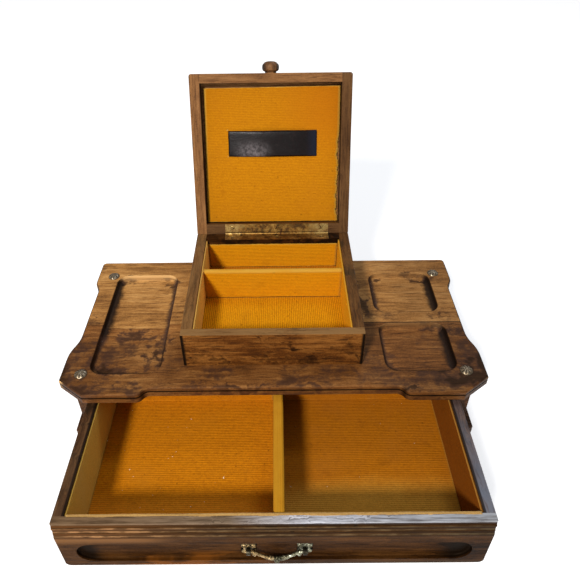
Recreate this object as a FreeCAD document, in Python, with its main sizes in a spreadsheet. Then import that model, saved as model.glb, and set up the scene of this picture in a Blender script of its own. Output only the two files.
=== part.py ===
import FreeCAD, Part
import math
import os
from types import SimpleNamespace

import Sketcher
from FreeCAD import Placement, Rotation, Vector

os.makedirs("parts", exist_ok=True)
doc = FreeCAD.newDocument("valet_box")

# Driving dimensions: millimetres, and degrees for the angle.
# X runs left to right, Y from the drawer front to the back, Z up from the underside of the base.
driving = {
    # Moulded boards, seen from above
    "board_width": 354,
    "board_depth": 182,
    "waist_inset": 6,
    "back_inset": 1,
    "front_setback": 7,
    "setback_width": 200,
    "setback_run": 12,
    "corner_cut_width": 22.5,
    "corner_cut_depth": 17,
    "lobe_side": 25,
    "front_ogee": 30,
    "back_ogee": 18,
    "back_lobe": 31,
    "back_corner_radius": 4,
    # Moulded boards, seen from the edge
    "base_thick": 10,
    "top_thick": 10,
    "bead_height": 5.4,
    "quirk_height": 1,
    "quirk_depth": 1.2,
    "edge_round": 1.8,
    "underside_round": 1,
    "seam_past_tray": 1.75,
    # Routed trays and decorative nails in the top board
    "tray_depth": 5,
    "tray_corner": 11,
    "tray_cove": 4,
    "tray_rim_round": 1.2,
    "tray_to_box": 19.7,
    "tray_side_margin": 22.7,
    "tray_back_margin": 23.5,
    "tray_front_margin": 24,
    "small_tray_space": 16,
    "stud_side_margin": 17,
    "stud_front_margin": 23.5,
    "stud_back_margin": 24,
    "stud_head": 11,
    "stud_dome": 2.6,
    "stud_shank": 2.2,
    "stud_length": 8,
    # Space for the drawer and the walls round it
    "drawer_space": 54,
    "case_overhang": 13.9,
    "case_wall": 11,
    "case_back_thick": 8,
    "case_back_margin": 8,
    "side_play": 0.6,
    "drawer_top_gap": 0.7,
    "drawer_ride": 0.3,
    "drawer_rear_gap": 0.5,
    "drawer_setin": 3,
    # Drawer
    "drawer_open_length": 117.5,
    "front_thick": 8,
    "drawer_wall": 8,
    "bottom_thick": 4,
    "bottom_up": 5.7,
    "bottom_groove": 3,
    "groove_play": 0.1,
    "reed_height": 5.4,
    "reed_depth": 0.9,
    "reed_radius": 4.6,
    "rim_round": 2.2,
    "field_fall": 3.6,
    "front_corner": 4,
    "recess_side_margin": 11.2,
    "recess_height": 23,
    "recess_depth": 3.5,
    "recess_cove": 1.5,
    "recess_up": 6,
    "lining_thick": 1.5,
    "floor_lining_thick": 1.8,
    "lining_below_rim": 1.2,
    "divider_core": 5,
    "divider_shift": 4,
    # Bail pull
    "pull_shift": 2,
    "pull_centres": 40,
    "pull_up": 19,
    "rosette_thick": 1.8,
    "rosette_width": 11.7,
    "rosette_height": 17.4,
    "rosette_core": 4.2,
    "rosette_lobe": 2.4,
    "post_radius": 1.4,
    "eye_radius": 2.4,
    "eye_width": 3,
    "eye_gap": 0.3,
    "wire_radius": 1.2,
    "pivot_play": 0.05,
    "nut_radius": 3,
    "nut_thick": 2,
    "bail_drop_height": 7.6,
    "bail_shoulder_radius": 6,
    "bail_lean_angle": 4,
    "bail_end": 0.6,
    "bead_radius": 1.7,
    "bead_spacing": 3.8,
    "drop_bead_radius": 2,
    "drop_bead_fall": 3.6,
    "collar_radius": 0.9,
    # Small box on the top board
    "box_width": 150,
    "box_depth": 150,
    "box_height": 34.5,
    "box_wall": 9.5,
    "box_front_thick": 8,
    "box_back_thick": 11,
    "box_lining_below_rim": 1,
    "cross_lining_below_rim": 5.5,
    "box_floor_lining": 2,
    "back_pocket": 44,
    "box_divider_core": 3,
    "cover_thick": 1,
    "box_divider_below_rim": 2,
    # Lid
    "lid_frame": 12,
    "lid_panel": 6,
    "lid_front_rail": 8.2,
    "lid_corner_round": 2.4,
    "lid_open_angle": 110,
    "lid_gap": 0.3,
    "lid_lining_thick": 2.5,
    "lining_side_gap": 0.5,
    "lining_front_gap": 3,
    "lining_skew": 2.2,
    "strap_length": 84.6,
    "strap_width": 24,
    "strap_thick": 0.8,
    "strap_bow_height": 3,
    "strap_from_pin": 86,
    "strap_shift": 1,
    "slit_play": 0.2,
    "knob_radius": 7.8,
    "knob_cap": 7,
    "knob_neck_radius": 4,
    "knob_neck": 3.5,
    "knob_tenon_radius": 3,
    "knob_tenon": 6,
    "knob_up": 8,
    # Piano hinge
    "pin_inset": 1.5,
    "hinge_length": 102,
    "hinge_shift": 4,
    "leaf_thick": 0.8,
    "knuckle_radius": 1.7,
    "hinge_pin_radius": 0.8,
    "hinge_play": 0.05,
    "knuckle_end_gap": 0.2,
    "knuckle_room": 0.25,
    "screw_spacing": 43.7,
    "screw_from_pin": 6,
    "screw_radius": 1.2,
    "screw_head_radius": 2,
    "screw_length": 8,
    "fit_play": 0.05,
    "overcut": 1,
}
knuckles = 8

sheet = doc.addObject("Spreadsheet::Sheet", "sizes")
for row, (alias, number) in enumerate(driving.items(), start=1):
    sheet.set(f"A{row}", alias)
    sheet.set(f"B{row}", str(number))
    sheet.setAlias(f"B{row}", alias)
doc.recompute()


class Size:
    # A length that knows its present value and the sheet formula it comes from
    def __init__(self, value, formula):
        self.value = value
        self.formula = formula

    def __add__(self, other):
        other = sized(other)
        return Size(self.value + other.value, f"({self.formula} + {other.formula})")

    def __sub__(self, other):
        other = sized(other)
        return Size(self.value - other.value, f"({self.formula} - {other.formula})")

    def __rsub__(self, other):
        return sized(other) - self

    def __mul__(self, other):
        other = sized(other)
        return Size(self.value * other.value, f"({self.formula} * {other.formula})")

    def __truediv__(self, other):
        other = sized(other)
        return Size(self.value / other.value, f"({self.formula} / {other.formula})")

    def __neg__(self):
        return Size(-self.value, f"(0 - {self.formula})")

    __radd__ = __add__
    __rmul__ = __mul__


def sized(number):
    return number if isinstance(number, Size) else Size(float(number), str(number))


def tangent(angle):
    return Size(math.tan(math.radians(angle.value)), f"tan({angle.formula} * 1 deg)")


def arc_sine(share):
    return Size(math.degrees(math.asin(share.value)), f"(asin({share.formula}) / 1 deg)")


s = SimpleNamespace(**{alias: Size(float(sheet.get(alias)), f"sizes.{alias}") for alias in driving})


# Outlines, bodies and features

def arc_middle(start, end, radius):
    # A positive radius bulges to the right of the way from start to end
    chord = end - start
    side = Vector(chord.y, -chord.x, 0).normalize()
    half = chord.Length / 2
    rise = abs(radius) - math.sqrt(radius * radius - half * half)
    return (start + end) / 2 + side * math.copysign(rise, radius)


def draw(sketch, corners, closed=True):
    # Each corner is (x, y), or (x, y, radius) where an arc leads to the next corner
    count = len(corners)
    spans = count if closed else count - 1
    points = [Vector(sized(c[0]).value, sized(c[1]).value, 0) for c in corners]
    for i in range(spans):
        start, end = points[i], points[(i + 1) % count]
        if len(corners[i]) == 2:
            sketch.addGeometry(Part.LineSegment(start, end), False)
        else:
            middle = arc_middle(start, end, corners[i][2].value)
            sketch.addGeometry(Part.Arc(start, middle, end), False)
    ends = []
    for i in range(spans):
        forward = sketch.getPoint(i, 1).distanceToPoint(points[i]) < 1e-6
        ends.append((1, 2) if forward else (2, 1))
    for i in range(spans):
        following = (i + 1) % count
        if closed or following < spans:
            joint = (i, ends[i][1], following, ends[following][0])
            sketch.addConstraint(Sketcher.Constraint("Coincident", *joint))
    for i in range(count):
        edge, point = (i, ends[i][0]) if i < spans else (i - 1, ends[i - 1][1])
        for kind, length in (("DistanceX", corners[i][0]), ("DistanceY", corners[i][1])):
            length = sized(length)
            index = sketch.addConstraint(Sketcher.Constraint(kind, -1, 1, edge, point, length.value))
            sketch.setExpression(f"Constraints[{index}]", length.formula)
        if i < spans and len(corners[i]) == 3:
            radius = abs(corners[i][2].value)
            sign = "" if corners[i][2].value > 0 else "0 - "
            index = sketch.addConstraint(Sketcher.Constraint("Radius", i, radius))
            sketch.setExpression(f"Constraints[{index}]", f"{sign}{corners[i][2].formula}")
    return sketch


def circle(sketch, x, y, radius):
    x, y = sized(x), sized(y)
    edge = sketch.addGeometry(Part.Circle(Vector(x.value, y.value, 0), Vector(0, 0, 1), radius.value), False)
    for kind, length in (("DistanceX", x), ("DistanceY", y)):
        index = sketch.addConstraint(Sketcher.Constraint(kind, -1, 1, edge, 3, length.value))
        sketch.setExpression(f"Constraints[{index}]", length.formula)
    index = sketch.addConstraint(Sketcher.Constraint("Radius", edge, radius.value))
    sketch.setExpression(f"Constraints[{index}]", radius.formula)
    return sketch


def new_body(name, frame):
    body = doc.addObject("PartDesign::Body", name)
    body.Label = name
    if frame.tilt is not None:
        body.Placement = Placement(Vector(0, 0, 0), Rotation(Vector(-1, 0, 0), frame.tilt.value))
        body.setExpression("Placement.Rotation.Angle", frame.tilt.formula)
    for axis, length in zip("xyz", (frame.x, frame.y, frame.z)):
        body.setExpression(f"Placement.Base.{axis}", sized(length).formula)
    return body


def sketch_on(body, plane, level):
    # Levels rise along +Z on the XY plane, along +X on YZ and towards the front on XZ
    sketch = body.newObject("Sketcher::SketchObject", f"{body.Name}_sketch")
    sketch.AttachmentSupport = ([f for f in body.Origin.OriginFeatures if f.Role == plane][0], [""])
    sketch.MapMode = "FlatFace"
    sketch.setExpression("AttachmentOffset.Base.z", sized(level).formula)
    return sketch


def raise_pad(body, sketch, length):
    pad = body.newObject("PartDesign::Pad", f"{body.Name}_pad")
    pad.Profile = sketch
    pad.setExpression("Length", sized(length).formula)
    body.Tip = pad
    doc.recompute()
    return pad


def cut_pocket(body, sketch, length, along_normal=False):
    before = body.Shape.Volume
    pocket = body.newObject("PartDesign::Pocket", f"{body.Name}_pocket")
    pocket.Profile = sketch
    pocket.setExpression("Length", sized(length).formula)
    pocket.Reversed = along_normal
    body.Tip = pocket
    doc.recompute()
    assert body.Shape.Volume < before, f"a pocket of {body.Name} cuts nothing"
    return pocket


def round_edges(body, radius, chosen, kind="Fillet", size="Radius"):
    base = body.Tip
    names = [f"Edge{i}" for i, edge in enumerate(base.Shape.Edges, start=1) if chosen(edge)]
    feature = body.newObject(f"PartDesign::{kind}", f"{body.Name}_{kind.lower()}")
    feature.Base = (base, names)
    feature.setExpression(size, radius.formula)
    body.Tip = feature
    doc.recompute()
    return feature


def repeat_along(body, feature, sketch, step, count):
    # Copies of one feature, spaced along the sketch's horizontal or vertical axis
    pattern = body.newObject("PartDesign::LinearPattern", f"{body.Name}_pattern")
    pattern.Originals = [feature]
    pattern.Direction = sketch
    pattern.setExpression("Length", (step * (count - 1)).formula)
    pattern.Occurrences = count
    body.Tip = pattern
    doc.recompute()
    return pattern


def prism(name, frame, plane, corners, low, high):
    # A straight piece: one outline carried from low to high along the plane's own axis
    body = new_body(name, frame)
    level = -sized(high) if plane == "XZ_Plane" else low
    raise_pad(body, draw(sketch_on(body, plane, level), corners), sized(high) - low)
    return body


def block(name, frame, left, right, front, back, low, high):
    corners = [(left, front), (right, front), (right, back), (left, back)]
    return prism(name, frame, "XY_Plane", corners, low, high)


def spin(body, sketch, start, end, angle=360, midplane=False, backwards=False):
    # Turn the sketch round a construction line from start to end
    start = [sized(length) for length in start]
    end = [sized(length) for length in end]
    line = Part.LineSegment(Vector(start[0].value, start[1].value, 0), Vector(end[0].value, end[1].value, 0))
    axis = sketch.addGeometry(line, True)
    for point, place in ((1, start), (2, end)):
        for kind, length in zip(("DistanceX", "DistanceY"), place):
            index = sketch.addConstraint(Sketcher.Constraint(kind, -1, 1, axis, point, length.value))
            sketch.setExpression(f"Constraints[{index}]", length.formula)
    turning = body.newObject("PartDesign::Revolution", f"{body.Name}_turning")
    turning.Profile = sketch
    turning.ReferenceAxis = (sketch, ["Axis0"])
    turning.setExpression("Angle", sized(angle).formula)
    turning.Midplane = midplane
    turning.Reversed = backwards
    body.Tip = turning
    doc.recompute()


def turned(name, frame, plane, level, centre, profile):
    # A turned piece: (radius, height) corners spun round an upright line of the sketch
    body = new_body(name, frame)
    corners = [(centre + c[0],) + tuple(c[1:]) for c in profile]
    sketch = draw(sketch_on(body, plane, level), corners)
    heights = sorted((sized(c[1]) for c in profile), key=lambda height: height.value)
    spin(body, sketch, (centre, heights[0]), (centre, heights[-1]))
    return body


def group(name, pieces):
    together = doc.addObject("Part::Compound", name)
    together.Label = name
    together.Links = pieces
    return together


def rounded_rectangle(left, right, front, back, radius):
    return [(left + radius, front), (right - radius, front, radius), (right, front + radius),
            (right, back - radius, radius), (right - radius, back), (left + radius, back, radius),
            (left, back - radius), (left, front + radius, radius)]


# Shared levels and places

back = s.board_depth / 2
front = -back
drawer_floor_z = s.base_thick
top_low = s.base_thick + s.drawer_space
top_high = top_low + s.top_thick
closed_front = front + s.front_setback + s.drawer_setin
case_back_front = back - s.case_back_margin - s.case_back_thick
drawer_back = case_back_front - s.drawer_rear_gap
case_outer = s.board_width / 2 - s.case_overhang
case_inner = case_outer - s.case_wall
drawer_side = case_inner - s.side_play
box_right = s.box_width / 2
box_inner = box_right - s.box_wall
box_front_y = back - s.box_depth
box_rim = top_high + s.box_height
pin_y = back - s.pin_inset
pin_z = box_rim + s.lid_gap / 2
bevel_drop = s.pin_inset * tangent(s.lid_open_angle / 2) + s.lid_gap

case_frame = SimpleNamespace(x=0, y=0, z=0, tilt=None)
drawer_frame = SimpleNamespace(x=0, y=-s.drawer_open_length, z=0, tilt=None)
lid_frame = SimpleNamespace(x=0, y=pin_y, z=pin_z, tilt=s.lid_open_angle)
nodes = []


# Moulded boards

def board_outline(name, level):
    wide = s.board_width / 2
    waist = wide - s.waist_inset
    rear = wide - s.back_inset
    flat, run = s.setback_width / 2, s.setback_run
    middle = front + s.front_setback
    turn = (run * run + s.front_setback * s.front_setback) / (s.front_setback * 4)
    lobe_front = front + s.corner_cut_depth
    lobe_back = lobe_front + s.lobe_side
    waist_front = lobe_back + s.front_ogee
    rear_front = back - s.back_lobe
    waist_back = rear_front - s.back_ogee

    def ogee(step, length):
        return (step * step + length * length) / (step * 4)

    front_bend = ogee(wide - waist, s.front_ogee)
    back_bend = ogee(rear - waist, s.back_ogee)
    corner = s.back_corner_radius
    right = [
        (flat, middle, -turn), (flat + run / 2, (middle + front) / 2, turn), (flat + run, front),
        (wide - s.corner_cut_width, front), (wide, lobe_front),
        (wide, lobe_back, front_bend), ((wide + waist) / 2, (lobe_back + waist_front) / 2, -front_bend),
        (waist, waist_front), (waist, waist_back, -back_bend),
        ((rear + waist) / 2, (waist_back + rear_front) / 2, back_bend), (rear, rear_front),
        (rear, back - corner, corner), (rear - corner, back),
    ]
    # The left half repeats the right half backwards, so each arc moves to its other end
    left = []
    for i in range(len(right) - 1, -1, -1):
        arc = right[i - 1][2:] if i > 0 else ()
        left.append((-right[i][0], right[i][1]) + arc)
    sketch = doc.addObject("Sketcher::SketchObject", name)
    sketch.setExpression("Placement.Base.z", sized(level).formula)
    return draw(sketch, right + left)


def extruded(name, base, height):
    solid = doc.addObject("Part::Extrusion", name)
    solid.Base = base
    solid.DirMode = "Custom"
    solid.Dir = Vector(0, 0, 1)
    solid.setExpression("LengthFwd", sized(height).formula)
    solid.Solid = True
    return solid


def cut(name, base, tool):
    result = doc.addObject("Part::Cut", name)
    result.Base = base
    result.Tool = tool
    doc.recompute()
    return result


def at_level(edge, level):
    box = edge.BoundBox
    return abs(box.ZMin - level.value) < 1e-4 and abs(box.ZMax - level.value) < 1e-4


def round_solid(name, solid, choices):
    # Choices pair a test for an edge with its radius
    edges = []
    for number, edge in enumerate(solid.Shape.Edges, start=1):
        for chosen, radius in choices:
            if chosen(edge):
                edges.append((number, radius.value, radius.value))
                break
    result = doc.addObject("Part::Fillet", name)
    result.Base = solid
    result.Edges = edges
    doc.recompute()
    return result


def moulded_board(name, low, thick):
    # The edge has an upper bead, a narrow quirk and a deeper bead under it
    full = extruded(f"{name}_full", board_outline(f"{name}_outline", low), thick)
    band = board_outline(f"{name}_quirk_outline", low + s.bead_height)
    inner = doc.addObject("Part::Offset2D", f"{name}_quirk_inner")
    inner.Source = band
    inner.Join = 2
    inner.setExpression("Value", (-s.quirk_depth).formula)
    ring = cut(f"{name}_quirk", extruded(f"{name}_band", band, s.quirk_height),
               extruded(f"{name}_core", inner, s.quirk_height))
    return cut(f"{name}_moulded", full, ring)


def base_board():
    board = moulded_board("base", sized(0), s.base_thick)
    node = round_solid("base_board", board, [
        (lambda edge: at_level(edge, s.base_thick), s.edge_round),
        (lambda edge: at_level(edge, sized(0)), s.underside_round)])
    nodes.append(node)


def tray(name, left, right, tray_front, tray_back):
    sketch = doc.addObject("Sketcher::SketchObject", f"{name}_outline")
    sketch.setExpression("Placement.Base.z", (top_high - s.tray_depth).formula)
    draw(sketch, rounded_rectangle(left, right, tray_front, tray_back, s.tray_corner))
    tool = extruded(f"{name}_tool", sketch, s.tray_depth)
    doc.recompute()
    return round_solid(name, tool, [(lambda edge: at_level(edge, top_high - s.tray_depth), s.tray_cove)])


def stud_places():
    rows = (front + s.stud_front_margin, back - s.stud_back_margin)
    x = s.board_width / 2 - s.stud_side_margin
    return [(side * x, y) for y in rows for side in (-1, 1)]


def top_board():
    board = moulded_board("top", top_low, s.top_thick)
    inner = box_right + s.tray_to_box
    outer = s.board_width / 2 - s.tray_side_margin
    tray_front = front + s.tray_front_margin
    tray_back = back - s.tray_back_margin
    middle = (tray_front + tray_back) / 2
    half_space = s.small_tray_space / 2
    tools = [
        tray("tray_long", -outer, -inner, tray_front, tray_back),
        tray("tray_small_back", inner, outer, middle + half_space, tray_back),
        tray("tray_small_front", inner, outer, tray_front, middle - half_space)]
    for number, (x, y) in enumerate(stud_places(), start=1):
        hole = doc.addObject("Part::Cylinder", f"stud_hole_{number}")
        hole.setExpression("Radius", (s.stud_shank / 2 + s.fit_play).formula)
        hole.setExpression("Height", (s.stud_length + s.fit_play).formula)
        hole.setExpression("Placement.Base.x", x.formula)
        hole.setExpression("Placement.Base.y", y.formula)
        hole.setExpression("Placement.Base.z", (top_high - s.stud_length - s.fit_play).formula)
        tools.append(hole)
    together = doc.addObject("Part::MultiFuse", "tray_tools")
    together.Shapes = tools
    routed = cut("top_routed", board, together)

    def tray_rim(edge):
        box = edge.BoundBox
        beside_box = box.XMin > inner.value - 1 or box.XMax < 1 - inner.value
        inside = max(abs(box.XMin), abs(box.XMax)) < outer.value + 1
        in_reach = box.YMin > tray_front.value - 1 and box.YMax < tray_back.value + 1
        return at_level(edge, top_high) and beside_box and inside and in_reach

    def outer_top(edge):
        return at_level(edge, top_high) and not tray_rim(edge) and edge.Length > s.stud_shank.value * 4

    rounded = round_solid("top_rounded", routed, [
        (tray_rim, s.tray_rim_round),
        (outer_top, s.edge_round),
        (lambda edge: at_level(edge, top_low), s.underside_round)])
    # Two planks glued edge to edge
    seam = middle - half_space + s.seam_past_tray
    for name, low, high in (("top_board_front", front, seam), ("top_board_back", seam, back)):
        reach = doc.addObject("Part::Box", f"{name}_reach")
        reach.setExpression("Length", s.board_width.formula)
        reach.setExpression("Width", (high - low).formula)
        reach.setExpression("Height", s.top_thick.formula)
        reach.setExpression("Placement.Base.x", (-s.board_width / 2).formula)
        reach.setExpression("Placement.Base.y", low.formula)
        reach.setExpression("Placement.Base.z", top_low.formula)
        plank = doc.addObject("Part::Common", name)
        plank.Base = rounded
        plank.Tool = reach
        nodes.append(plank)


def corner_studs():
    # Decorative nails: a shallow dome with a thin rim on a round shank
    rim = s.stud_head / 2
    shank = s.stud_shank / 2
    edge = s.stud_dome / 5
    rise = s.stud_dome - edge
    dome = (rim * rim + rise * rise) / (rise * 2)
    profile = [(0, top_high - s.stud_length), (shank, top_high - s.stud_length), (shank, top_high),
               (rim, top_high), (rim, top_high + edge, dome), (0, top_high + s.stud_dome)]
    studs = [turned(f"stud_{number}", case_frame, "XZ_Plane", -y, x, profile)
             for number, (x, y) in enumerate(stud_places(), start=1)]
    nodes.append(group("corner_studs", studs))


# Case between the boards

def case_walls():
    case_rear = back - s.case_back_margin
    nodes.append(block("case_side_left", case_frame, -case_outer, -case_inner, closed_front, case_rear,
                       drawer_floor_z, top_low))
    nodes.append(block("case_side_right", case_frame, case_inner, case_outer, closed_front, case_rear,
                       drawer_floor_z, top_low))
    nodes.append(block("case_back", case_frame, -case_inner, case_inner, case_back_front, case_rear,
                       drawer_floor_z, top_low))


# Small box

def bevelled_wall(plane_front):
    # Side view of a wall that reaches the back: the top back edge is bevelled to stop the lid
    return [(plane_front, top_high), (back, top_high), (back, pin_z - bevel_drop),
            (pin_y, box_rim), (plane_front, box_rim)]


def screw_places():
    # The hinge's three screws, from its middle outwards
    return [s.hinge_shift + s.screw_spacing * step for step in (-1, 0, 1)]


def box_walls():
    # The front covers the ends of the side walls
    front_inside = box_front_y + s.box_front_thick
    nodes.append(block("box_front", case_frame, -box_right, box_right, box_front_y,
                       front_inside, top_high, box_rim))
    nodes.append(prism("box_side_left", case_frame, "YZ_Plane", bevelled_wall(front_inside),
                       -box_right, -box_inner))
    nodes.append(prism("box_side_right", case_frame, "YZ_Plane", bevelled_wall(front_inside),
                       box_inner, box_right))
    rail = prism("box_back", case_frame, "YZ_Plane", bevelled_wall(back - s.box_back_thick),
                 -box_inner, box_inner)
    leaf_bed(rail, pin_y, pin_z, -1)
    nodes.append(rail)


def leaf_bed(rail, y, z, side):
    # The leaf lies flush in the rail and the knuckles turn in a round channel.
    # side is -1 where the rail lies under the pin and 1 where it lies over it.
    left = s.hinge_shift - s.hinge_length / 2 - s.fit_play
    right = s.hinge_shift + s.hinge_length / 2 + s.fit_play
    face = z + s.lid_gap / 2 * side
    deep = s.leaf_thick + s.fit_play
    bed = sketch_on(rail, "XY_Plane", face)
    reach = s.box_back_thick - s.pin_inset
    past = y - reach - s.overcut
    draw(bed, [(left, past), (right, past), (right, y), (left, y)])
    cut_pocket(rail, bed, deep, along_normal=side > 0)
    channel = circle(sketch_on(rail, "YZ_Plane", left), y, z, s.knuckle_radius + s.knuckle_room)
    cut_pocket(rail, channel, right - left, along_normal=True)
    holes = sketch_on(rail, "XY_Plane", face)
    for x in screw_places():
        circle(holes, x, y - s.screw_from_pin, s.screw_radius + s.fit_play)
    cut_pocket(rail, holes, s.screw_length + s.fit_play, along_normal=side > 0)


def box_linings():
    inner_front = box_front_y + s.box_front_thick
    inner_back = back - s.box_back_thick
    lining = s.lining_thick
    floor = top_high + s.box_floor_lining
    divider_back = inner_back - lining - s.back_pocket
    divider_front = divider_back - s.box_divider_core - s.cover_thick * 2
    core_front = divider_front + s.cover_thick
    core_back = divider_back - s.cover_thick
    side_top = box_rim - s.box_lining_below_rim
    cross_top = box_rim - s.cross_lining_below_rim
    between = box_inner - lining
    nodes.append(block("box_floor_lining_front", case_frame, -box_inner, box_inner,
                       inner_front, core_front, top_high, floor))
    nodes.append(block("box_floor_lining_back", case_frame, -box_inner, box_inner,
                       core_back, inner_back, top_high, floor))
    nodes.append(block("box_lining_left", case_frame, -box_inner, -between,
                       inner_front, inner_back, floor, side_top))
    nodes.append(block("box_lining_right", case_frame, between, box_inner,
                       inner_front, inner_back, floor, side_top))
    nodes.append(block("box_lining_front", case_frame, -between, between,
                       inner_front, inner_front + lining, floor, cross_top))
    nodes.append(block("box_lining_back", case_frame, -between, between,
                       inner_back - lining, inner_back, floor, cross_top))
    top = box_rim - s.box_divider_below_rim
    nodes.append(block("box_divider", case_frame, -between, between,
                       core_front, core_back, top_high, top - s.cover_thick))
    nodes.append(prism("box_divider_cover", case_frame, "YZ_Plane", [
        (divider_front, floor), (core_front, floor), (core_front, top - s.cover_thick),
        (core_back, top - s.cover_thick), (core_back, floor), (divider_back, floor),
        (divider_back, top), (divider_front, top)], -between, between))


# Piano hinge

def knuckle_pitch():
    return s.hinge_length / knuckles


def hinge_leaf(name, frame, y, z, side, first):
    # side is -1 for the leaf let into the box and 1 for the one let into the lid
    body = new_body(name, frame)
    left = s.hinge_shift - s.hinge_length / 2
    face = z + s.lid_gap / 2 * side
    low = face - s.leaf_thick if side < 0 else face
    width = s.box_back_thick - s.pin_inset
    wall = (s.hinge_pin_radius + s.hinge_play + s.knuckle_radius) / 2
    plate = draw(sketch_on(body, "XY_Plane", low), [
        (left, y - width), (left + s.hinge_length, y - width),
        (left + s.hinge_length, y - wall), (left, y - wall)])
    raise_pad(body, plate, s.leaf_thick)
    pitch = knuckle_pitch()
    # Room for the other leaf's knuckles
    start = left + pitch * (1 - first)
    clear = s.knuckle_radius + s.knuckle_room
    gap = draw(sketch_on(body, "XY_Plane", low), [
        (start - s.knuckle_end_gap / 2, y - clear), (start + pitch + s.knuckle_end_gap / 2, y - clear),
        (start + pitch + s.knuckle_end_gap / 2, y), (start - s.knuckle_end_gap / 2, y)])
    pocket = cut_pocket(body, gap, s.leaf_thick, along_normal=True)
    repeat_along(body, pocket, (gap, ["H_Axis"]), pitch * 2, knuckles // 2)
    own = left + pitch * first + s.knuckle_end_gap / 2
    ring = circle(sketch_on(body, "YZ_Plane", own), y, z, s.knuckle_radius)
    pad = raise_pad(body, ring, pitch - s.knuckle_end_gap)
    repeat_along(body, pad, (ring, ["N_Axis"]), pitch * 2, knuckles // 2)
    bore = circle(sketch_on(body, "YZ_Plane", left - s.overcut), y, z, s.hinge_pin_radius + s.hinge_play)
    cut_pocket(body, bore, s.hinge_length + s.overcut * 2, along_normal=True)
    holes = sketch_on(body, "XY_Plane", low)
    for x in screw_places():
        circle(holes, x, y - s.screw_from_pin, s.screw_radius + s.fit_play)
    cut_pocket(body, holes, s.leaf_thick, along_normal=True)

    def mouth(edge):
        small = edge.Length < 2 * math.pi * (s.screw_radius.value + s.fit_play.value) + 0.01
        round_edge = edge.Curve.TypeId == "Part::GeomCircle" and abs(edge.Curve.Axis.z) > 0.9
        return small and round_edge and at_level(edge, face)

    round_edges(body, s.screw_head_radius - s.screw_radius - s.fit_play, mouth, "Chamfer", "Size")
    nodes.append(body)


def hinge_screws(name, frame, y, z, side):
    face = z + s.lid_gap / 2 * side
    head = s.screw_head_radius - s.screw_radius - s.fit_play
    wide = s.screw_head_radius - s.fit_play * 2
    shank = face + s.screw_length * side
    throat = face + head * side
    profile = [(0, face), (wide, face), (s.screw_radius, throat), (s.screw_radius, shank), (0, shank)]
    if side < 0:
        profile.reverse()
    screws = [turned(f"{name}_{number}", frame, "XZ_Plane", -(y - s.screw_from_pin), x, profile)
              for number, x in enumerate(screw_places(), start=1)]
    nodes.append(group(name, screws))


def piano_hinge():
    hinge_leaf("hinge_leaf_box", case_frame, pin_y, pin_z, -1, 0)
    hinge_leaf("hinge_leaf_lid", lid_frame, sized(0), sized(0), 1, 1)
    hinge_screws("hinge_screws_box", case_frame, pin_y, pin_z, -1)
    hinge_screws("hinge_screws_lid", lid_frame, sized(0), sized(0), 1)
    pin = new_body("hinge_pin", case_frame)
    left = s.hinge_shift - s.hinge_length / 2
    raise_pad(pin, circle(sketch_on(pin, "YZ_Plane", left), pin_y, pin_z, s.hinge_pin_radius), s.hinge_length)
    nodes.append(pin)


# Lid, drawn closed round its hinge pin

def outer_corner(edge):
    # An edge through the lid's thickness, at one of its outer corners
    box = edge.BoundBox
    through = box.ZLength > s.lid_panel.value / 2 and max(box.XLength, box.YLength) < 1e-4
    return through and abs(abs(box.XMin) - box_right.value) < 1e-4


def lid():
    low = s.lid_gap / 2
    frame_top = low + s.lid_frame
    lid_front = box_front_y - pin_y
    lid_back = s.pin_inset
    stile = [(lid_front, low), (0, low), (lid_back, bevel_drop), (lid_back, frame_top),
             (lid_front, frame_top)]
    for name, left, right in (("left", -box_right, -box_inner), ("right", box_inner, box_right)):
        body = prism(f"lid_stile_{name}", lid_frame, "YZ_Plane", stile, left, right)
        round_edges(body, s.lid_corner_round, outer_corner)
        nodes.append(body)
    rail_front = lid_back - s.box_back_thick
    back_rail = prism("lid_rail_back", lid_frame, "YZ_Plane", [
        (rail_front, low), (0, low), (lid_back, bevel_drop), (lid_back, frame_top), (rail_front, frame_top)],
        -box_inner, box_inner)
    leaf_bed(back_rail, sized(0), sized(0), 1)
    nodes.append(back_rail)
    front_rail_back = lid_front + s.lid_front_rail
    front_rail = block("lid_rail_front", lid_frame, -box_inner, box_inner,
                       lid_front, front_rail_back, low, frame_top)
    tenon_hole = circle(sketch_on(front_rail, "XZ_Plane", -lid_front), 0, s.knob_up,
                        s.knob_tenon_radius + s.fit_play)
    cut_pocket(front_rail, tenon_hole, s.knob_tenon + s.fit_play)
    nodes.append(front_rail)
    panel = block("lid_top", lid_frame, -box_right, box_right, lid_front, lid_back,
                  frame_top, frame_top + s.lid_panel)
    round_edges(panel, s.lid_corner_round, outer_corner)
    nodes.append(panel)
    lid_lining(front_rail_back, rail_front, frame_top)
    lid_knob(lid_front)


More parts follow.
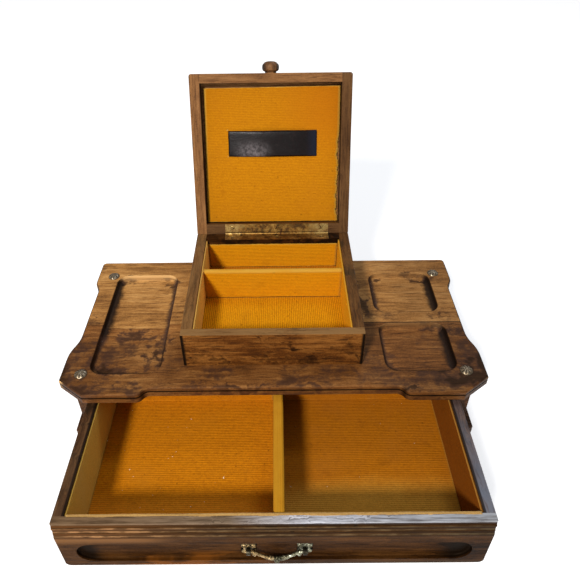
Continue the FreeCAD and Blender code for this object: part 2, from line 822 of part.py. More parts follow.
def lid_lining(inner_front, inner_back, frame_top):
    # Fabric-covered card, cut a little crooked, with two slits for the strap
    face = frame_top - s.lid_lining_thick
    edge = box_inner - s.lining_side_gap
    near = inner_back - s.lining_side_gap
    far = inner_front + s.lining_front_gap
    card = prism("lid_lining", lid_frame, "XY_Plane", [
        (-edge + s.lining_skew, far + s.lining_skew / 2), (edge, far), (edge, near), (-edge, near)],
        face, frame_top)
    half = s.strap_length / 2
    outer = half + s.slit_play
    inner = half - s.strap_thick - s.slit_play
    wide = s.strap_width / 2 + s.slit_play
    middle = s.strap_shift
    y = -s.strap_from_pin
    for side in (-1, 1):
        slit = sketch_on(card, "XY_Plane", face)
        near_x, far_x = (inner, outer) if side > 0 else (-outer, -inner)
        draw(slit, [(middle + near_x, y - wide), (middle + far_x, y - wide),
                    (middle + far_x, y + wide), (middle + near_x, y + wide)])
        cut_pocket(card, slit, s.lid_lining_thick, along_normal=True)
    nodes.append(card)
    # The strap bows off the lining, and its ends go through the slits to the lid board
    thick = s.strap_thick
    bow_outer = s.strap_bow_height + thick
    bend_outer = (half * half + bow_outer * bow_outer) / (bow_outer * 2)
    leg = half - thick
    bend_inner = (leg * leg + s.strap_bow_height * s.strap_bow_height) / (s.strap_bow_height * 2)
    nodes.append(prism("lid_strap", lid_frame, "XZ_Plane", [
        (middle - half, frame_top), (middle - half, face, bend_outer), (middle + half, face),
        (middle + half, frame_top), (middle + leg, frame_top), (middle + leg, face, -bend_inner),
        (middle - leg, face), (middle - leg, frame_top)],
        y - s.strap_width / 2, y + s.strap_width / 2))


def lid_knob(lid_front):
    cap = lid_front - s.knob_neck
    tip = cap - s.knob_cap
    shoulder = s.knob_cap / 2.8
    crown_rise = s.knob_cap - shoulder
    crown = (s.knob_radius * s.knob_radius + crown_rise * crown_rise) / (crown_rise * 2)
    under = s.knob_radius - s.knob_neck_radius
    bend = (under * under + shoulder * shoulder) / (shoulder * 2)
    nodes.append(turned("lid_knob", lid_frame, "XY_Plane", s.knob_up, sized(0), [
        (0, tip, crown), (s.knob_radius, tip + crown_rise, bend), (s.knob_neck_radius, cap),
        (s.knob_neck_radius, lid_front), (s.knob_tenon_radius, lid_front),
        (s.knob_tenon_radius, lid_front + s.knob_tenon), (0, lid_front + s.knob_tenon)]))


# Drawer, drawn pushed in

drawer_low = s.base_thick + s.drawer_ride
rim = top_low - s.drawer_top_gap
drawer_inner = drawer_side - s.drawer_wall
front_back = closed_front + s.front_thick
bottom_low = drawer_low + s.bottom_up
bottom_high = bottom_low + s.bottom_thick
drawer_floor = bottom_high + s.floor_lining_thick
recess_middle = drawer_low + s.recess_up + s.recess_height / 2
recess_floor = closed_front + s.recess_depth
pull_z = drawer_low + s.pull_up
pivot_y = recess_floor - s.rosette_thick - s.pivot_play - s.eye_radius
bail_y = pivot_y - s.drawer_open_length
bail_frame = SimpleNamespace(x=s.pull_shift, y=bail_y, z=pull_z, tilt=s.bail_lean_angle)


def drawer_front():
    # The section carries two reeds under the rim and a third curve that falls to the flat field
    groove = closed_front + s.reed_depth
    field = rim - s.reed_height * 2 - s.field_fall
    fall = (s.reed_depth * s.reed_depth + s.field_fall * s.field_fall) / (s.reed_depth * 2)
    body = prism("drawer_front", drawer_frame, "YZ_Plane", [
        (front_back, drawer_low), (front_back, rim), (closed_front + s.rim_round, rim, -s.reed_radius),
        (groove, rim - s.reed_height, -s.reed_radius), (groove, rim - s.reed_height * 2, -fall),
        (closed_front, field), (closed_front, drawer_low)], -drawer_side, drawer_side)

    def lower_corner(edge):
        along_y = edge.BoundBox.XLength < 1e-6 and edge.BoundBox.ZLength < 1e-6
        return along_y and edge.BoundBox.ZMax < drawer_low.value + 1e-3

    round_edges(body, s.front_corner, lower_corner)
    half = drawer_side - s.recess_side_margin
    end = s.recess_height / 2
    flat = half - end
    low, high = recess_middle - end, recess_middle + end
    recess = draw(sketch_on(body, "XZ_Plane", -closed_front), [
        (-flat, low), (flat, low, end), (half, recess_middle, end), (flat, high), (-flat, high, end),
        (-half, recess_middle, end)])
    cut_pocket(body, recess, s.recess_depth)

    def recess_foot(edge):
        box = edge.BoundBox
        return abs(box.YMin - recess_floor.value) < 1e-4 and abs(box.YMax - recess_floor.value) < 1e-4

    round_edges(body, s.recess_cove, recess_foot)
    # A groove for the bottom panel, and a hole with a seat for the nut behind each rosette
    groove_sketch = draw(sketch_on(body, "XZ_Plane", -front_back), [
        (-drawer_inner - s.bottom_groove, bottom_low - s.groove_play),
        (drawer_inner + s.bottom_groove, bottom_low - s.groove_play),
        (drawer_inner + s.bottom_groove, bottom_high + s.groove_play),
        (-drawer_inner - s.bottom_groove, bottom_high + s.groove_play)])
    cut_pocket(body, groove_sketch, s.bottom_groove + s.groove_play, along_normal=True)
    for side in (-1, 1):
        x = s.pull_shift + s.pull_centres / 2 * side
        hole = circle(sketch_on(body, "XZ_Plane", -front_back), x, pull_z, s.post_radius + s.fit_play)
        cut_pocket(body, hole, s.front_thick, along_normal=True)
        seat = circle(sketch_on(body, "XZ_Plane", -front_back), x, pull_z, s.nut_radius + s.fit_play * 2)
        cut_pocket(body, seat, s.nut_thick, along_normal=True)
    nodes.append(body)


def drawer_walls():
    slot = drawer_inner + s.bottom_groove + s.groove_play
    low, high = bottom_low - s.groove_play, bottom_high + s.groove_play
    for name, side in (("drawer_side_left", -1), ("drawer_side_right", 1)):
        section = [(drawer_inner * side, drawer_low), (drawer_side * side, drawer_low),
                   (drawer_side * side, rim), (drawer_inner * side, rim), (drawer_inner * side, high),
                   (slot * side, high), (slot * side, low), (drawer_inner * side, low)]
        nodes.append(prism(name, drawer_frame, "XZ_Plane", section, front_back, drawer_back))
    # The back stands on the bottom panel, which slides in from behind
    nodes.append(block("drawer_back", drawer_frame, -drawer_inner, drawer_inner,
                       drawer_back - s.drawer_wall, drawer_back, bottom_high, rim))
    reach = drawer_inner + s.bottom_groove
    nodes.append(block("drawer_bottom", drawer_frame, -reach, reach,
                       front_back - s.bottom_groove, drawer_back, bottom_low, bottom_high))


def drawer_linings():
    inner_back = drawer_back - s.drawer_wall
    thick = s.lining_thick
    high = rim - s.lining_below_rim
    core_left = s.divider_shift - s.divider_core / 2
    core_right = s.divider_shift + s.divider_core / 2
    cover_left, cover_right = core_left - thick, core_right + thick
    bays = (("left", -drawer_inner, core_left, -drawer_inner + thick, cover_left),
            ("right", core_right, drawer_inner, cover_right, drawer_inner - thick))
    for name, floor_left, floor_right, bay_left, bay_right in bays:
        nodes.append(block(f"drawer_floor_lining_{name}", drawer_frame, floor_left, floor_right,
                           front_back, inner_back, bottom_high, drawer_floor))
        nodes.append(block(f"drawer_front_lining_{name}", drawer_frame, bay_left, bay_right,
                           front_back, front_back + thick, drawer_floor, high))
        nodes.append(block(f"drawer_back_lining_{name}", drawer_frame, bay_left, bay_right,
                           inner_back - thick, inner_back, drawer_floor, high))
    nodes.append(block("drawer_side_lining_left", drawer_frame, -drawer_inner, -drawer_inner + thick,
                       front_back, inner_back, drawer_floor, high))
    nodes.append(block("drawer_side_lining_right", drawer_frame, drawer_inner - thick, drawer_inner,
                       front_back, inner_back, drawer_floor, high))
    nodes.append(block("drawer_divider", drawer_frame, core_left, core_right,
                       front_back, inner_back, bottom_high, high - thick))
    nodes.append(prism("drawer_divider_cover", drawer_frame, "XZ_Plane", [
        (cover_left, drawer_floor), (core_left, drawer_floor), (core_left, high - thick),
        (core_right, high - thick), (core_right, drawer_floor), (cover_right, drawer_floor),
        (cover_right, high), (cover_left, high)], front_back, inner_back))


# Bail pull

def pull():
    nuts = []
    for name, side in (("left", -1), ("right", 1)):
        x = s.pull_shift + s.pull_centres / 2 * side
        rosette(f"pull_rosette_{name}", x)
        post(f"pull_post_{name}", x)
        nut = new_body(f"pull_nut_{name}", drawer_frame)
        ring = circle(sketch_on(nut, "XZ_Plane", -front_back), x, pull_z, s.nut_radius)
        circle(ring, x, pull_z, s.post_radius + s.fit_play)
        raise_pad(nut, ring, s.nut_thick - s.fit_play)
        nuts.append(nut)
    nodes.append(group("pull_nuts", nuts))


def rosette(name, x):
    # A cast plate: a round middle, one lobe at the top and foot, and one at each corner
    body = new_body(name, drawer_frame)
    discs = [(0, 0, s.rosette_core)]
    for up in (-1, 1):
        discs.append((0, (s.rosette_height / 2 - s.rosette_lobe) * up, s.rosette_lobe))
        for across in (-1, 1):
            discs.append(((s.rosette_width / 2 - s.rosette_lobe) * across,
                          s.rosette_height * up / 5, s.rosette_lobe))
    for along, up, radius in discs:
        disc = circle(sketch_on(body, "XZ_Plane", -recess_floor), x + along, pull_z + up, radius)
        raise_pad(body, disc, s.rosette_thick)
    hole = circle(sketch_on(body, "XZ_Plane", -recess_floor), x, pull_z, s.post_radius + s.fit_play)
    cut_pocket(body, hole, s.rosette_thick, along_normal=True)
    nodes.append(body)


def post(name, x):
    # A threaded shank through the rosette and the drawer front, with an eye for the bail
    body = new_body(name, drawer_frame)
    shank = circle(sketch_on(body, "XZ_Plane", -front_back), x, pull_z, s.post_radius)
    raise_pad(body, shank, front_back - pivot_y)
    eye = circle(sketch_on(body, "YZ_Plane", x - s.eye_width / 2), pivot_y, pull_z, s.eye_radius)
    raise_pad(body, eye, s.eye_width)
    bore = circle(sketch_on(body, "YZ_Plane", x - s.eye_width / 2), pivot_y, pull_z,
                  s.wire_radius + s.pivot_play)
    cut_pocket(body, bore, s.eye_width, along_normal=True)
    nodes.append(body)


def bail():
    # The wire leaves each eye inwards, turns down a shoulder and sweeps through the middle
    body = new_body("pull_bail", bail_frame)
    end = s.pull_centres / 2 + s.eye_width / 2 + s.bail_end
    start = s.pull_centres / 2 - s.eye_width / 2 - s.eye_gap
    # The shoulder arc is tangent to the pin and to the sweep
    both = (start * start + s.bail_drop_height * s.bail_drop_height) / (s.bail_drop_height * 2)
    sweep = both - s.bail_shoulder_radius
    slope = arc_sine(start / both)
    side_pivot = -s.bail_shoulder_radius
    arch_pivot = sweep - s.bail_drop_height
    reach = s.wire_radius * 2
    for side in (-1, 1):
        pin = circle(sketch_on(body, "YZ_Plane", start if side > 0 else -end), 0, 0, s.wire_radius)
        raise_pad(body, pin, end - start)
        shoulder = circle(sketch_on(body, "YZ_Plane", start * side), 0, 0, s.wire_radius)
        spin(body, shoulder, (-reach, side_pivot), (reach, side_pivot), slope, backwards=side > 0)
    arch = circle(sketch_on(body, "YZ_Plane", 0), 0, -s.bail_drop_height, s.wire_radius)
    spin(body, arch, (-reach, arch_pivot), (reach, arch_pivot), slope * 2, midplane=True)
    # Cast ornament: a bead on each side of the middle and a drop bead on a collar between them
    drop = s.bail_drop_height + s.drop_bead_fall
    collar = circle(sketch_on(body, "XY_Plane", -drop), 0, 0, s.collar_radius)
    raise_pad(body, collar, s.drop_bead_fall)
    for x, radius, depth in ((-s.bead_spacing, s.bead_radius, s.bail_drop_height),
                             (s.bead_spacing, s.bead_radius, s.bail_drop_height),
                             (sized(0), s.drop_bead_radius, drop)):
        sketch = sketch_on(body, "XZ_Plane", 0)
        draw(sketch, [(x, -depth - radius, radius), (x + radius, -depth, radius), (x, radius - depth)])
        spin(body, sketch, (x, -depth - radius), (x, radius - depth))
    nodes.append(body)


base_board()
top_board()
corner_studs()
case_walls()
box_walls()
box_linings()
piano_hinge()
lid()
drawer_front()
drawer_walls()
drawer_linings()
pull()
bail()
doc.recompute()

for item in doc.Objects:
    assert not {"Invalid", "Error"} & set(item.State), f"{item.Name} failed"
for node in nodes:
    assert not node.Shape.isNull() and node.Shape.isValid(), f"{node.Name} has no valid shape"
for node in nodes:
    node.Label = node.Name
    node.Shape.exportStep(f"parts/{node.Name}.step")
    print(node.Name, len(node.Shape.Solids), round(node.Shape.Volume, 1))
print("nodes", len(nodes))
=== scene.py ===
import math
import random
import bpy
from mathutils import Matrix, Vector, noise


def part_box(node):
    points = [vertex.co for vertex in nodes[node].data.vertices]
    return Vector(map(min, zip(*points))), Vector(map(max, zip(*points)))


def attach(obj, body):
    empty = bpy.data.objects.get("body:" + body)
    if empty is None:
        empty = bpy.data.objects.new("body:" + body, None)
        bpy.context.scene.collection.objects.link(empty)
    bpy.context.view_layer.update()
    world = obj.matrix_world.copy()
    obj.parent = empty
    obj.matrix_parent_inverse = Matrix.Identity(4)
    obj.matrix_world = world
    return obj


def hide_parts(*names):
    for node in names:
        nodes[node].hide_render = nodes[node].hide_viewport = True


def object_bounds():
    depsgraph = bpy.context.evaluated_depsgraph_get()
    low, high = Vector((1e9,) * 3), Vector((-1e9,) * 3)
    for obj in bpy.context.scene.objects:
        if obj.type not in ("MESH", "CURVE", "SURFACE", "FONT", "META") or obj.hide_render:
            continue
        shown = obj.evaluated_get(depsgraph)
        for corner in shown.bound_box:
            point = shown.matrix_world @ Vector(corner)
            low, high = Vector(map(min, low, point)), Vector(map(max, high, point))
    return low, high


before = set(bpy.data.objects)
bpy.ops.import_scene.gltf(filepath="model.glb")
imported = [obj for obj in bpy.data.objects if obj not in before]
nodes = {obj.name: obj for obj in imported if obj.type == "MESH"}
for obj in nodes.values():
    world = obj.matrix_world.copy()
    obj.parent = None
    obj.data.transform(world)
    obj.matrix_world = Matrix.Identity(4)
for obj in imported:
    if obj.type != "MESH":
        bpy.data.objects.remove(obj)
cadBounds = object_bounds()
scene = bpy.context.scene
mm = 0.001


# small helpers

def smooth(edge0, edge1, value):
    # soft step from 0 at edge0 to 1 at edge1
    t = min(1.0, max(0.0, (value - edge0) / (edge1 - edge0)))
    return t * t * (3 - 2 * t)


def wander(x, y=0.0, z=0.0, seed=0):
    # soft noise about -1..1
    return noise.noise(Vector((x + seed * 17.31, y - seed * 9.17, z + seed * 4.73))) * 1.6


def makePiece(name, verts, faces, body, looks, replaced=(), layers=None, lookOf=None):
    # verts in mm, joined into one mesh object that rides on a body
    mesh = bpy.data.meshes.new(name)
    mesh.from_pydata([Vector(v) * mm for v in verts], [], faces)
    for look in looks:
        mesh.materials.append(look)
    if lookOf:
        mesh.polygons.foreach_set("material_index", lookOf)
    mesh.polygons.foreach_set("use_smooth", [True] * len(mesh.polygons))
    for layer, values in (layers or {}).items():
        mesh.attributes.new(layer, "FLOAT", "POINT").data.foreach_set("value", values)
    mesh.update()
    piece = bpy.data.objects.new(name, mesh)
    scene.collection.objects.link(piece)
    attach(piece, body)
    if replaced:
        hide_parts(*replaced)
    return piece


def tube(verts, faces, path, radius, sides=6):
    # closed tube along points in mm; radius is a number or one per point
    first = len(verts)
    count = len(path)
    for i, point in enumerate(path):
        ahead = (Vector(path[min(i + 1, count - 1)]) - Vector(path[max(i - 1, 0)])).normalized()
        side = ahead.cross(Vector((0.13, 0.37, 0.92))).normalized()
        up = ahead.cross(side)
        r = radius[i] if isinstance(radius, (list, tuple)) else radius
        for k in range(sides):
            a = math.tau * k / sides
            verts.append(Vector(point) + (side * math.cos(a) + up * math.sin(a)) * r)
    for i in range(count - 1):
        for k in range(sides):
            a, b = first + i * sides + k, first + i * sides + (k + 1) % sides
            faces.append((a, b, b + sides, a + sides))
    faces.append(tuple(first + k for k in reversed(range(sides))))
    faces.append(tuple(first + (count - 1) * sides + k for k in range(sides)))


# the lid's own axes: x across, y from the hinge to the knob (negative), z outwards
lidPlace = Vector((0, 89.5, 108.65))
lidTurn = math.radians(-110)
lidAxes = (Vector((1, 0, 0)), Vector((0, math.cos(lidTurn), math.sin(lidTurn))),
           Vector((0, -math.sin(lidTurn), math.cos(lidTurn))))


def onLid(x, y, z):
    return lidPlace + lidAxes[0] * x + lidAxes[1] * y + lidAxes[2] * z


# camera, light and floor

cameraValues = {
    "lens": 36.434,
    "place": (0.004803, -0.405609, 0.428698),
    "forward": (-0.00598424, 0.76505034, -0.64394267),
    "right": (0.99992966, -0.00201651, -0.01168823),
    "shift": (0.02632, 0.03032),
}


def placeCamera(v):
    data = bpy.data.cameras.new("camera")
    data.lens, data.sensor_width = v["lens"], 36
    data.shift_x, data.shift_y = v["shift"]
    data.clip_start = 0.01
    camera = bpy.data.objects.new("camera", data)
    forward, right = Vector(v["forward"]), Vector(v["right"])
    up = right.cross(forward)
    turn = Matrix((right, up, -forward)).transposed()
    camera.matrix_world = Matrix.Translation(v["place"]) @ turn.to_4x4()
    scene.collection.objects.link(camera)
    scene.camera = camera


lampValues = {
    "keyLamp": {"place": (-0.90, -2.12, 1.84), "aim": (0, -0.05, 0.06), "size": 0.42, "power": 88,
                "tint": (1.0, 0.965, 0.92)},
    "skyLamp": {"place": (0.46, 0.55, 1.33), "aim": (0.1, -0.15, 0.06), "size": 0.4, "power": 4.2,
                "tint": (0.72, 0.82, 1.0)},
}
roomValues = {"tint": (0.95, 0.97, 1.0), "strength": 0.34, "floor": (0.72, 0.72, 0.72), "glow": 0.60}


def placeLamps(lamps):
    for name, v in lamps.items():
        data = bpy.data.lights.new(name, "AREA")
        data.shape, data.size, data.energy, data.color = "DISK", v["size"], v["power"], v["tint"]
        lamp = bpy.data.objects.new(name, data)
        lamp.location = v["place"]
        lamp.rotation_euler = (Vector(v["aim"]) - Vector(v["place"])).to_track_quat("-Z", "Y").to_euler()
        scene.collection.objects.link(lamp)


def placeRoom(v):
    world = bpy.data.worlds.new("room")
    world.use_nodes = True
    sky = world.node_tree.nodes["Background"]
    sky.inputs["Color"].default_value = (*v["tint"], 1)
    sky.inputs["Strength"].default_value = v["strength"]
    scene.world = world
    scene.view_settings.view_transform = "Standard"
    low = cadBounds[0][2]
    mesh = bpy.data.meshes.new("floor")
    mesh.from_pydata([(-30, -30, low), (30, -30, low), (30, 30, low), (-30, 30, low)], [], [(0, 1, 2, 3)])
    floor = bpy.data.objects.new("floor", mesh)
    paper = bpy.data.materials.new("floorPaper")
    paper.use_nodes = True
    shader = paper.node_tree.nodes["Principled BSDF"]
    shader.inputs["Base Color"].default_value = (*v["floor"], 1)
    shader.inputs["Roughness"].default_value = 0.9
    shader.inputs["Specular IOR Level"].default_value = 0.1
    shader.inputs["Emission Color"].default_value = (1, 1, 1, 1)
    shader.inputs["Emission Strength"].default_value = v["glow"]
    mesh.materials.append(paper)
    scene.collection.objects.link(floor)


placeCamera(cameraValues)
placeLamps(lampValues)
placeRoom(roomValues)
print("camera, lamps and floor placed")


# writing a material

class Look:
    # one material, with a short call for each kind of node used here
    def __init__(self, name):
        self.material = bpy.data.materials.new(name)
        self.material.use_nodes = True
        self.tree = self.material.node_tree
        self.shader = self.tree.nodes["Principled BSDF"]
        coords = self.tree.nodes.new("ShaderNodeTexCoord")
        self.place = coords.outputs["Object"]
        self.facing = coords.outputs["Normal"]

    def feed(self, socket, value):
        if isinstance(value, bpy.types.NodeSocket):
            self.tree.links.new(value, socket)
        elif isinstance(value, tuple) and len(value) == 3 and socket.type == "RGBA":
            socket.default_value = (*value, 1)
        else:
            socket.default_value = value

    def calc(self, kind, a, b=0.0, clamp=False):
        node = self.tree.nodes.new("ShaderNodeMath")
        node.operation, node.use_clamp = kind, clamp
        self.feed(node.inputs[0], a)
        self.feed(node.inputs[1], b)
        return node.outputs[0]

    def stretch(self, place, scale, shift=(0, 0, 0)):
        node = self.tree.nodes.new("ShaderNodeMapping")
        self.feed(node.inputs["Vector"], place)
        node.inputs["Scale"].default_value = scale
        node.inputs["Location"].default_value = shift
        return node.outputs[0]

    def grain(self, place, scale, detail=3.0, rough=0.55, twist=0.0):
        node = self.tree.nodes.new("ShaderNodeTexNoise")
        self.feed(node.inputs["Vector"], place)
        self.feed(node.inputs["Scale"], scale)
        self.feed(node.inputs["Detail"], detail)
        self.feed(node.inputs["Roughness"], rough)
        self.feed(node.inputs["Distortion"], twist)
        return node.outputs[0]

    def cells(self, place, scale, feature="F1"):
        node = self.tree.nodes.new("ShaderNodeTexVoronoi")
        node.feature = feature
        self.feed(node.inputs["Vector"], place)
        self.feed(node.inputs["Scale"], scale)
        return node.outputs["Distance"]

    def span(self, value, low, high, to=(0.0, 1.0)):
        node = self.tree.nodes.new("ShaderNodeMapRange")
        node.interpolation_type = "SMOOTHSTEP"
        self.feed(node.inputs["Value"], value)
        self.feed(node.inputs["From Min"], low)
        self.feed(node.inputs["From Max"], high)
        self.feed(node.inputs["To Min"], to[0])
        self.feed(node.inputs["To Max"], to[1])
        return node.outputs[0]

    def tones(self, value, stops):
        node = self.tree.nodes.new("ShaderNodeValToRGB")
        ramp = node.color_ramp
        ramp.elements[0].position, ramp.elements[0].color = stops[0][0], (*stops[0][1], 1)
        ramp.elements[1].position, ramp.elements[1].color = stops[-1][0], (*stops[-1][1], 1)
        for at, color in stops[1:-1]:
            ramp.elements.new(at).color = (*color, 1)
        self.feed(node.inputs[0], value)
        return node.outputs[0]

    def blend(self, share, a, b, kind="MIX"):
        node = self.tree.nodes.new("ShaderNodeMix")
        node.data_type, node.blend_type = "RGBA", kind
        self.feed(node.inputs[0], share)
        self.feed(node.inputs[6], a)
        self.feed(node.inputs[7], b)
        return node.outputs[2]

    def split(self, place):
        node = self.tree.nodes.new("ShaderNodeSeparateXYZ")
        self.feed(node.inputs[0], place)
        return node.outputs[0], node.outputs[1], node.outputs[2]

    def join(self, x, y, z):
        node = self.tree.nodes.new("ShaderNodeCombineXYZ")
        for socket, value in zip(node.inputs, (x, y, z)):
            self.feed(socket, value)
        return node.outputs[0]

    def layer(self, name):
        node = self.tree.nodes.new("ShaderNodeAttribute")
        node.attribute_name = name
        return node.outputs["Fac"]

    def near(self, place, x, y, reachX, reachY):
        # 1 at a place seen from above (mm), falling to 0 at the rim of an oval round it
        node = self.tree.nodes.new("ShaderNodeVectorMath")
        node.operation = "DISTANCE"
        self.feed(node.inputs[0], self.stretch(place, (1 / (reachX * mm), 1 / (reachY * mm), 0)))
        node.inputs[1].default_value = (x / reachX, y / reachY, 0)
        return self.span(node.outputs["Value"], 0.15, 1.15, to=(1.0, 0.0))

    def relief(self, height, depth, strength=1.0):
        node = self.tree.nodes.new("ShaderNodeBump")
        self.feed(node.inputs["Height"], height)
        node.inputs["Distance"].default_value = depth * mm
        node.inputs["Strength"].default_value = strength
        self.tree.links.new(node.outputs[0], self.shader.inputs["Normal"])

    def finish(self, color, rough, **settings):
        self.feed(self.shader.inputs["Base Color"], color)
        self.feed(self.shader.inputs["Roughness"], rough)
        for name, value in settings.items():
            self.feed(self.shader.inputs[name.replace("_", " ")], value)
        return self.material


# stained wood

woodTones = {
    "backPlank": {"dark": (0.100, 0.037, 0.010), "mid": (0.395, 0.178, 0.046), "light": (0.620, 0.320, 0.100),
                  "side": 0.40, "stain": (0.056, 0.023, 0.012)},
    "frontPlank": {"dark": (0.040, 0.014, 0.005), "mid": (0.165, 0.062, 0.015), "light": (0.310, 0.138, 0.038),
                   "side": 0.45, "stain": (0.048, 0.021, 0.013)},
    "boxWood": {"dark": (0.016, 0.005, 0.002), "mid": (0.104, 0.032, 0.005), "light": (0.235, 0.090, 0.018)},
    "lidWood": {"dark": (0.060, 0.022, 0.008), "mid": (0.190, 0.082, 0.027), "light": (0.300, 0.145, 0.052)},
    "drawerWood": {"dark": (0.012, 0.005, 0.002), "mid": (0.060, 0.023, 0.008), "light": (0.150, 0.070, 0.023)},
    "frontWood": {"dark": (0.006, 0.002, 0.001), "mid": (0.030, 0.0105, 0.002), "light": (0.070, 0.027, 0.006)},
    "caseWood": {"dark": (0.014, 0.005, 0.002), "mid": (0.050, 0.019, 0.007), "light": (0.110, 0.046, 0.016)},
    "knob": {"dark": (0.024, 0.009, 0.003), "mid": (0.130, 0.052, 0.016), "light": (0.300, 0.140, 0.048)},
}
wornTint = (0.235, 0.128, 0.046)

# grain: the way the fibres run; heart: where the tree's heart lies across them, in mm; worn: rubbed upward faces
woodPieces = {
    "top_board_back": {"tone": "backPlank", "grain": "x", "seed": 1, "heart": (30, -40), "ring": 5.5},
    "top_board_front": {"tone": "frontPlank", "grain": "x", "seed": 2, "heart": (-42, -34), "ring": 4.5,
                        "dull": 0.5},
    "base_board": {"tone": "caseWood", "grain": "x", "seed": 3, "heart": (0, -60), "ring": 5},
    "case_back": {"tone": "caseWood", "grain": "x", "seed": 4, "heart": (120, 40), "ring": 4},
    "case_side_left": {"tone": "caseWood", "grain": "y", "seed": 5, "heart": (-120, 40), "ring": 4},
    "case_side_right": {"tone": "caseWood", "grain": "y", "seed": 6, "heart": (120, 40), "ring": 4},
    "box_front": {"tone": "boxWood", "upright": True, "grain": "x", "seed": 7, "contrast": 1.3, "heart": (60, 180), "ring": 3.2, "worn": 0.85,
                  "shadedEnds": (71.4, 73.4)},
    "box_back": {"tone": "boxWood", "grain": "x", "seed": 8, "heart": (70, 80), "ring": 4, "shade": 0.4},
    "box_side_left": {"tone": "boxWood", "grain": "y", "seed": 9, "heart": (-110, 90), "ring": 4, "worn": 0.6},
    "box_side_right": {"tone": "boxWood", "shade": 0.62, "grain": "y", "seed": 10, "heart": (110, 90), "ring": 4, "worn": 0.25},
    "box_divider": {"tone": "boxWood", "grain": "x", "seed": 11, "heart": (0, 60), "ring": 4},
    "lid_top": {"tone": "lidWood", "grain": "x", "seed": 12, "heart": (-70, 60), "ring": 5, "lid": True},
    "lid_stile_left": {"tone": "lidWood", "grain": "y", "seed": 13, "heart": (-90, 30), "ring": 3.5, "lid": True},
    "lid_stile_right": {"tone": "lidWood", "grain": "y", "seed": 14, "heart": (95, 30), "ring": 3.5, "lid": True,
                        "shade": 0.46},
    "lid_rail_front": {"tone": "lidWood", "grain": "x", "seed": 15, "heart": (-150, 30), "ring": 3.5, "lid": True,
                       "shade": 0.92},
    "lid_rail_back": {"tone": "lidWood", "grain": "x", "seed": 16, "heart": (10, 30), "ring": 3.5, "lid": True,
                      "shade": 0.45},
    "drawer_front": {"tone": "frontWood", "upright": True, "grain": "x", "seed": 18, "heart": (-185, 20), "ring": 4, "worn": 0.9,
                     "dustAndReflection": True, "upFrom": (0.25, 0.6), "wornFrom": 60.5, "shine": 0.05, "reeds": (0.125, 0.080, 0.037)},
    "drawer_side_left": {"tone": "drawerWood", "gap": True, "grain": "y", "seed": 19, "heart": (-120, 40), "ring": 4, "worn": 0.55,
                         "wearAndReflectionTint": (0.105, 0.058, 0.028)},
    # the right side's rubbed rim is tinted grey-blue as a painted reflection of the sky; the left side's brown tint is
    # wear
    "drawer_side_right": {"tone": "drawerWood", "gap": True, "grain": "y", "seed": 20, "heart": (120, 40), "ring": 4, "worn": 0.9,
                          "wearAndReflectionTint": (0.135, 0.150, 0.185)},
    "drawer_back": {"tone": "drawerWood", "grain": "x", "seed": 21, "heart": (0, 20), "ring": 4},
    "drawer_bottom": {"tone": "caseWood", "grain": "x", "seed": 22, "heart": (-120, -40), "ring": 5},
    "drawer_divider": {"tone": "drawerWood", "grain": "y", "seed": 23, "heart": (0, 0), "ring": 4},
}
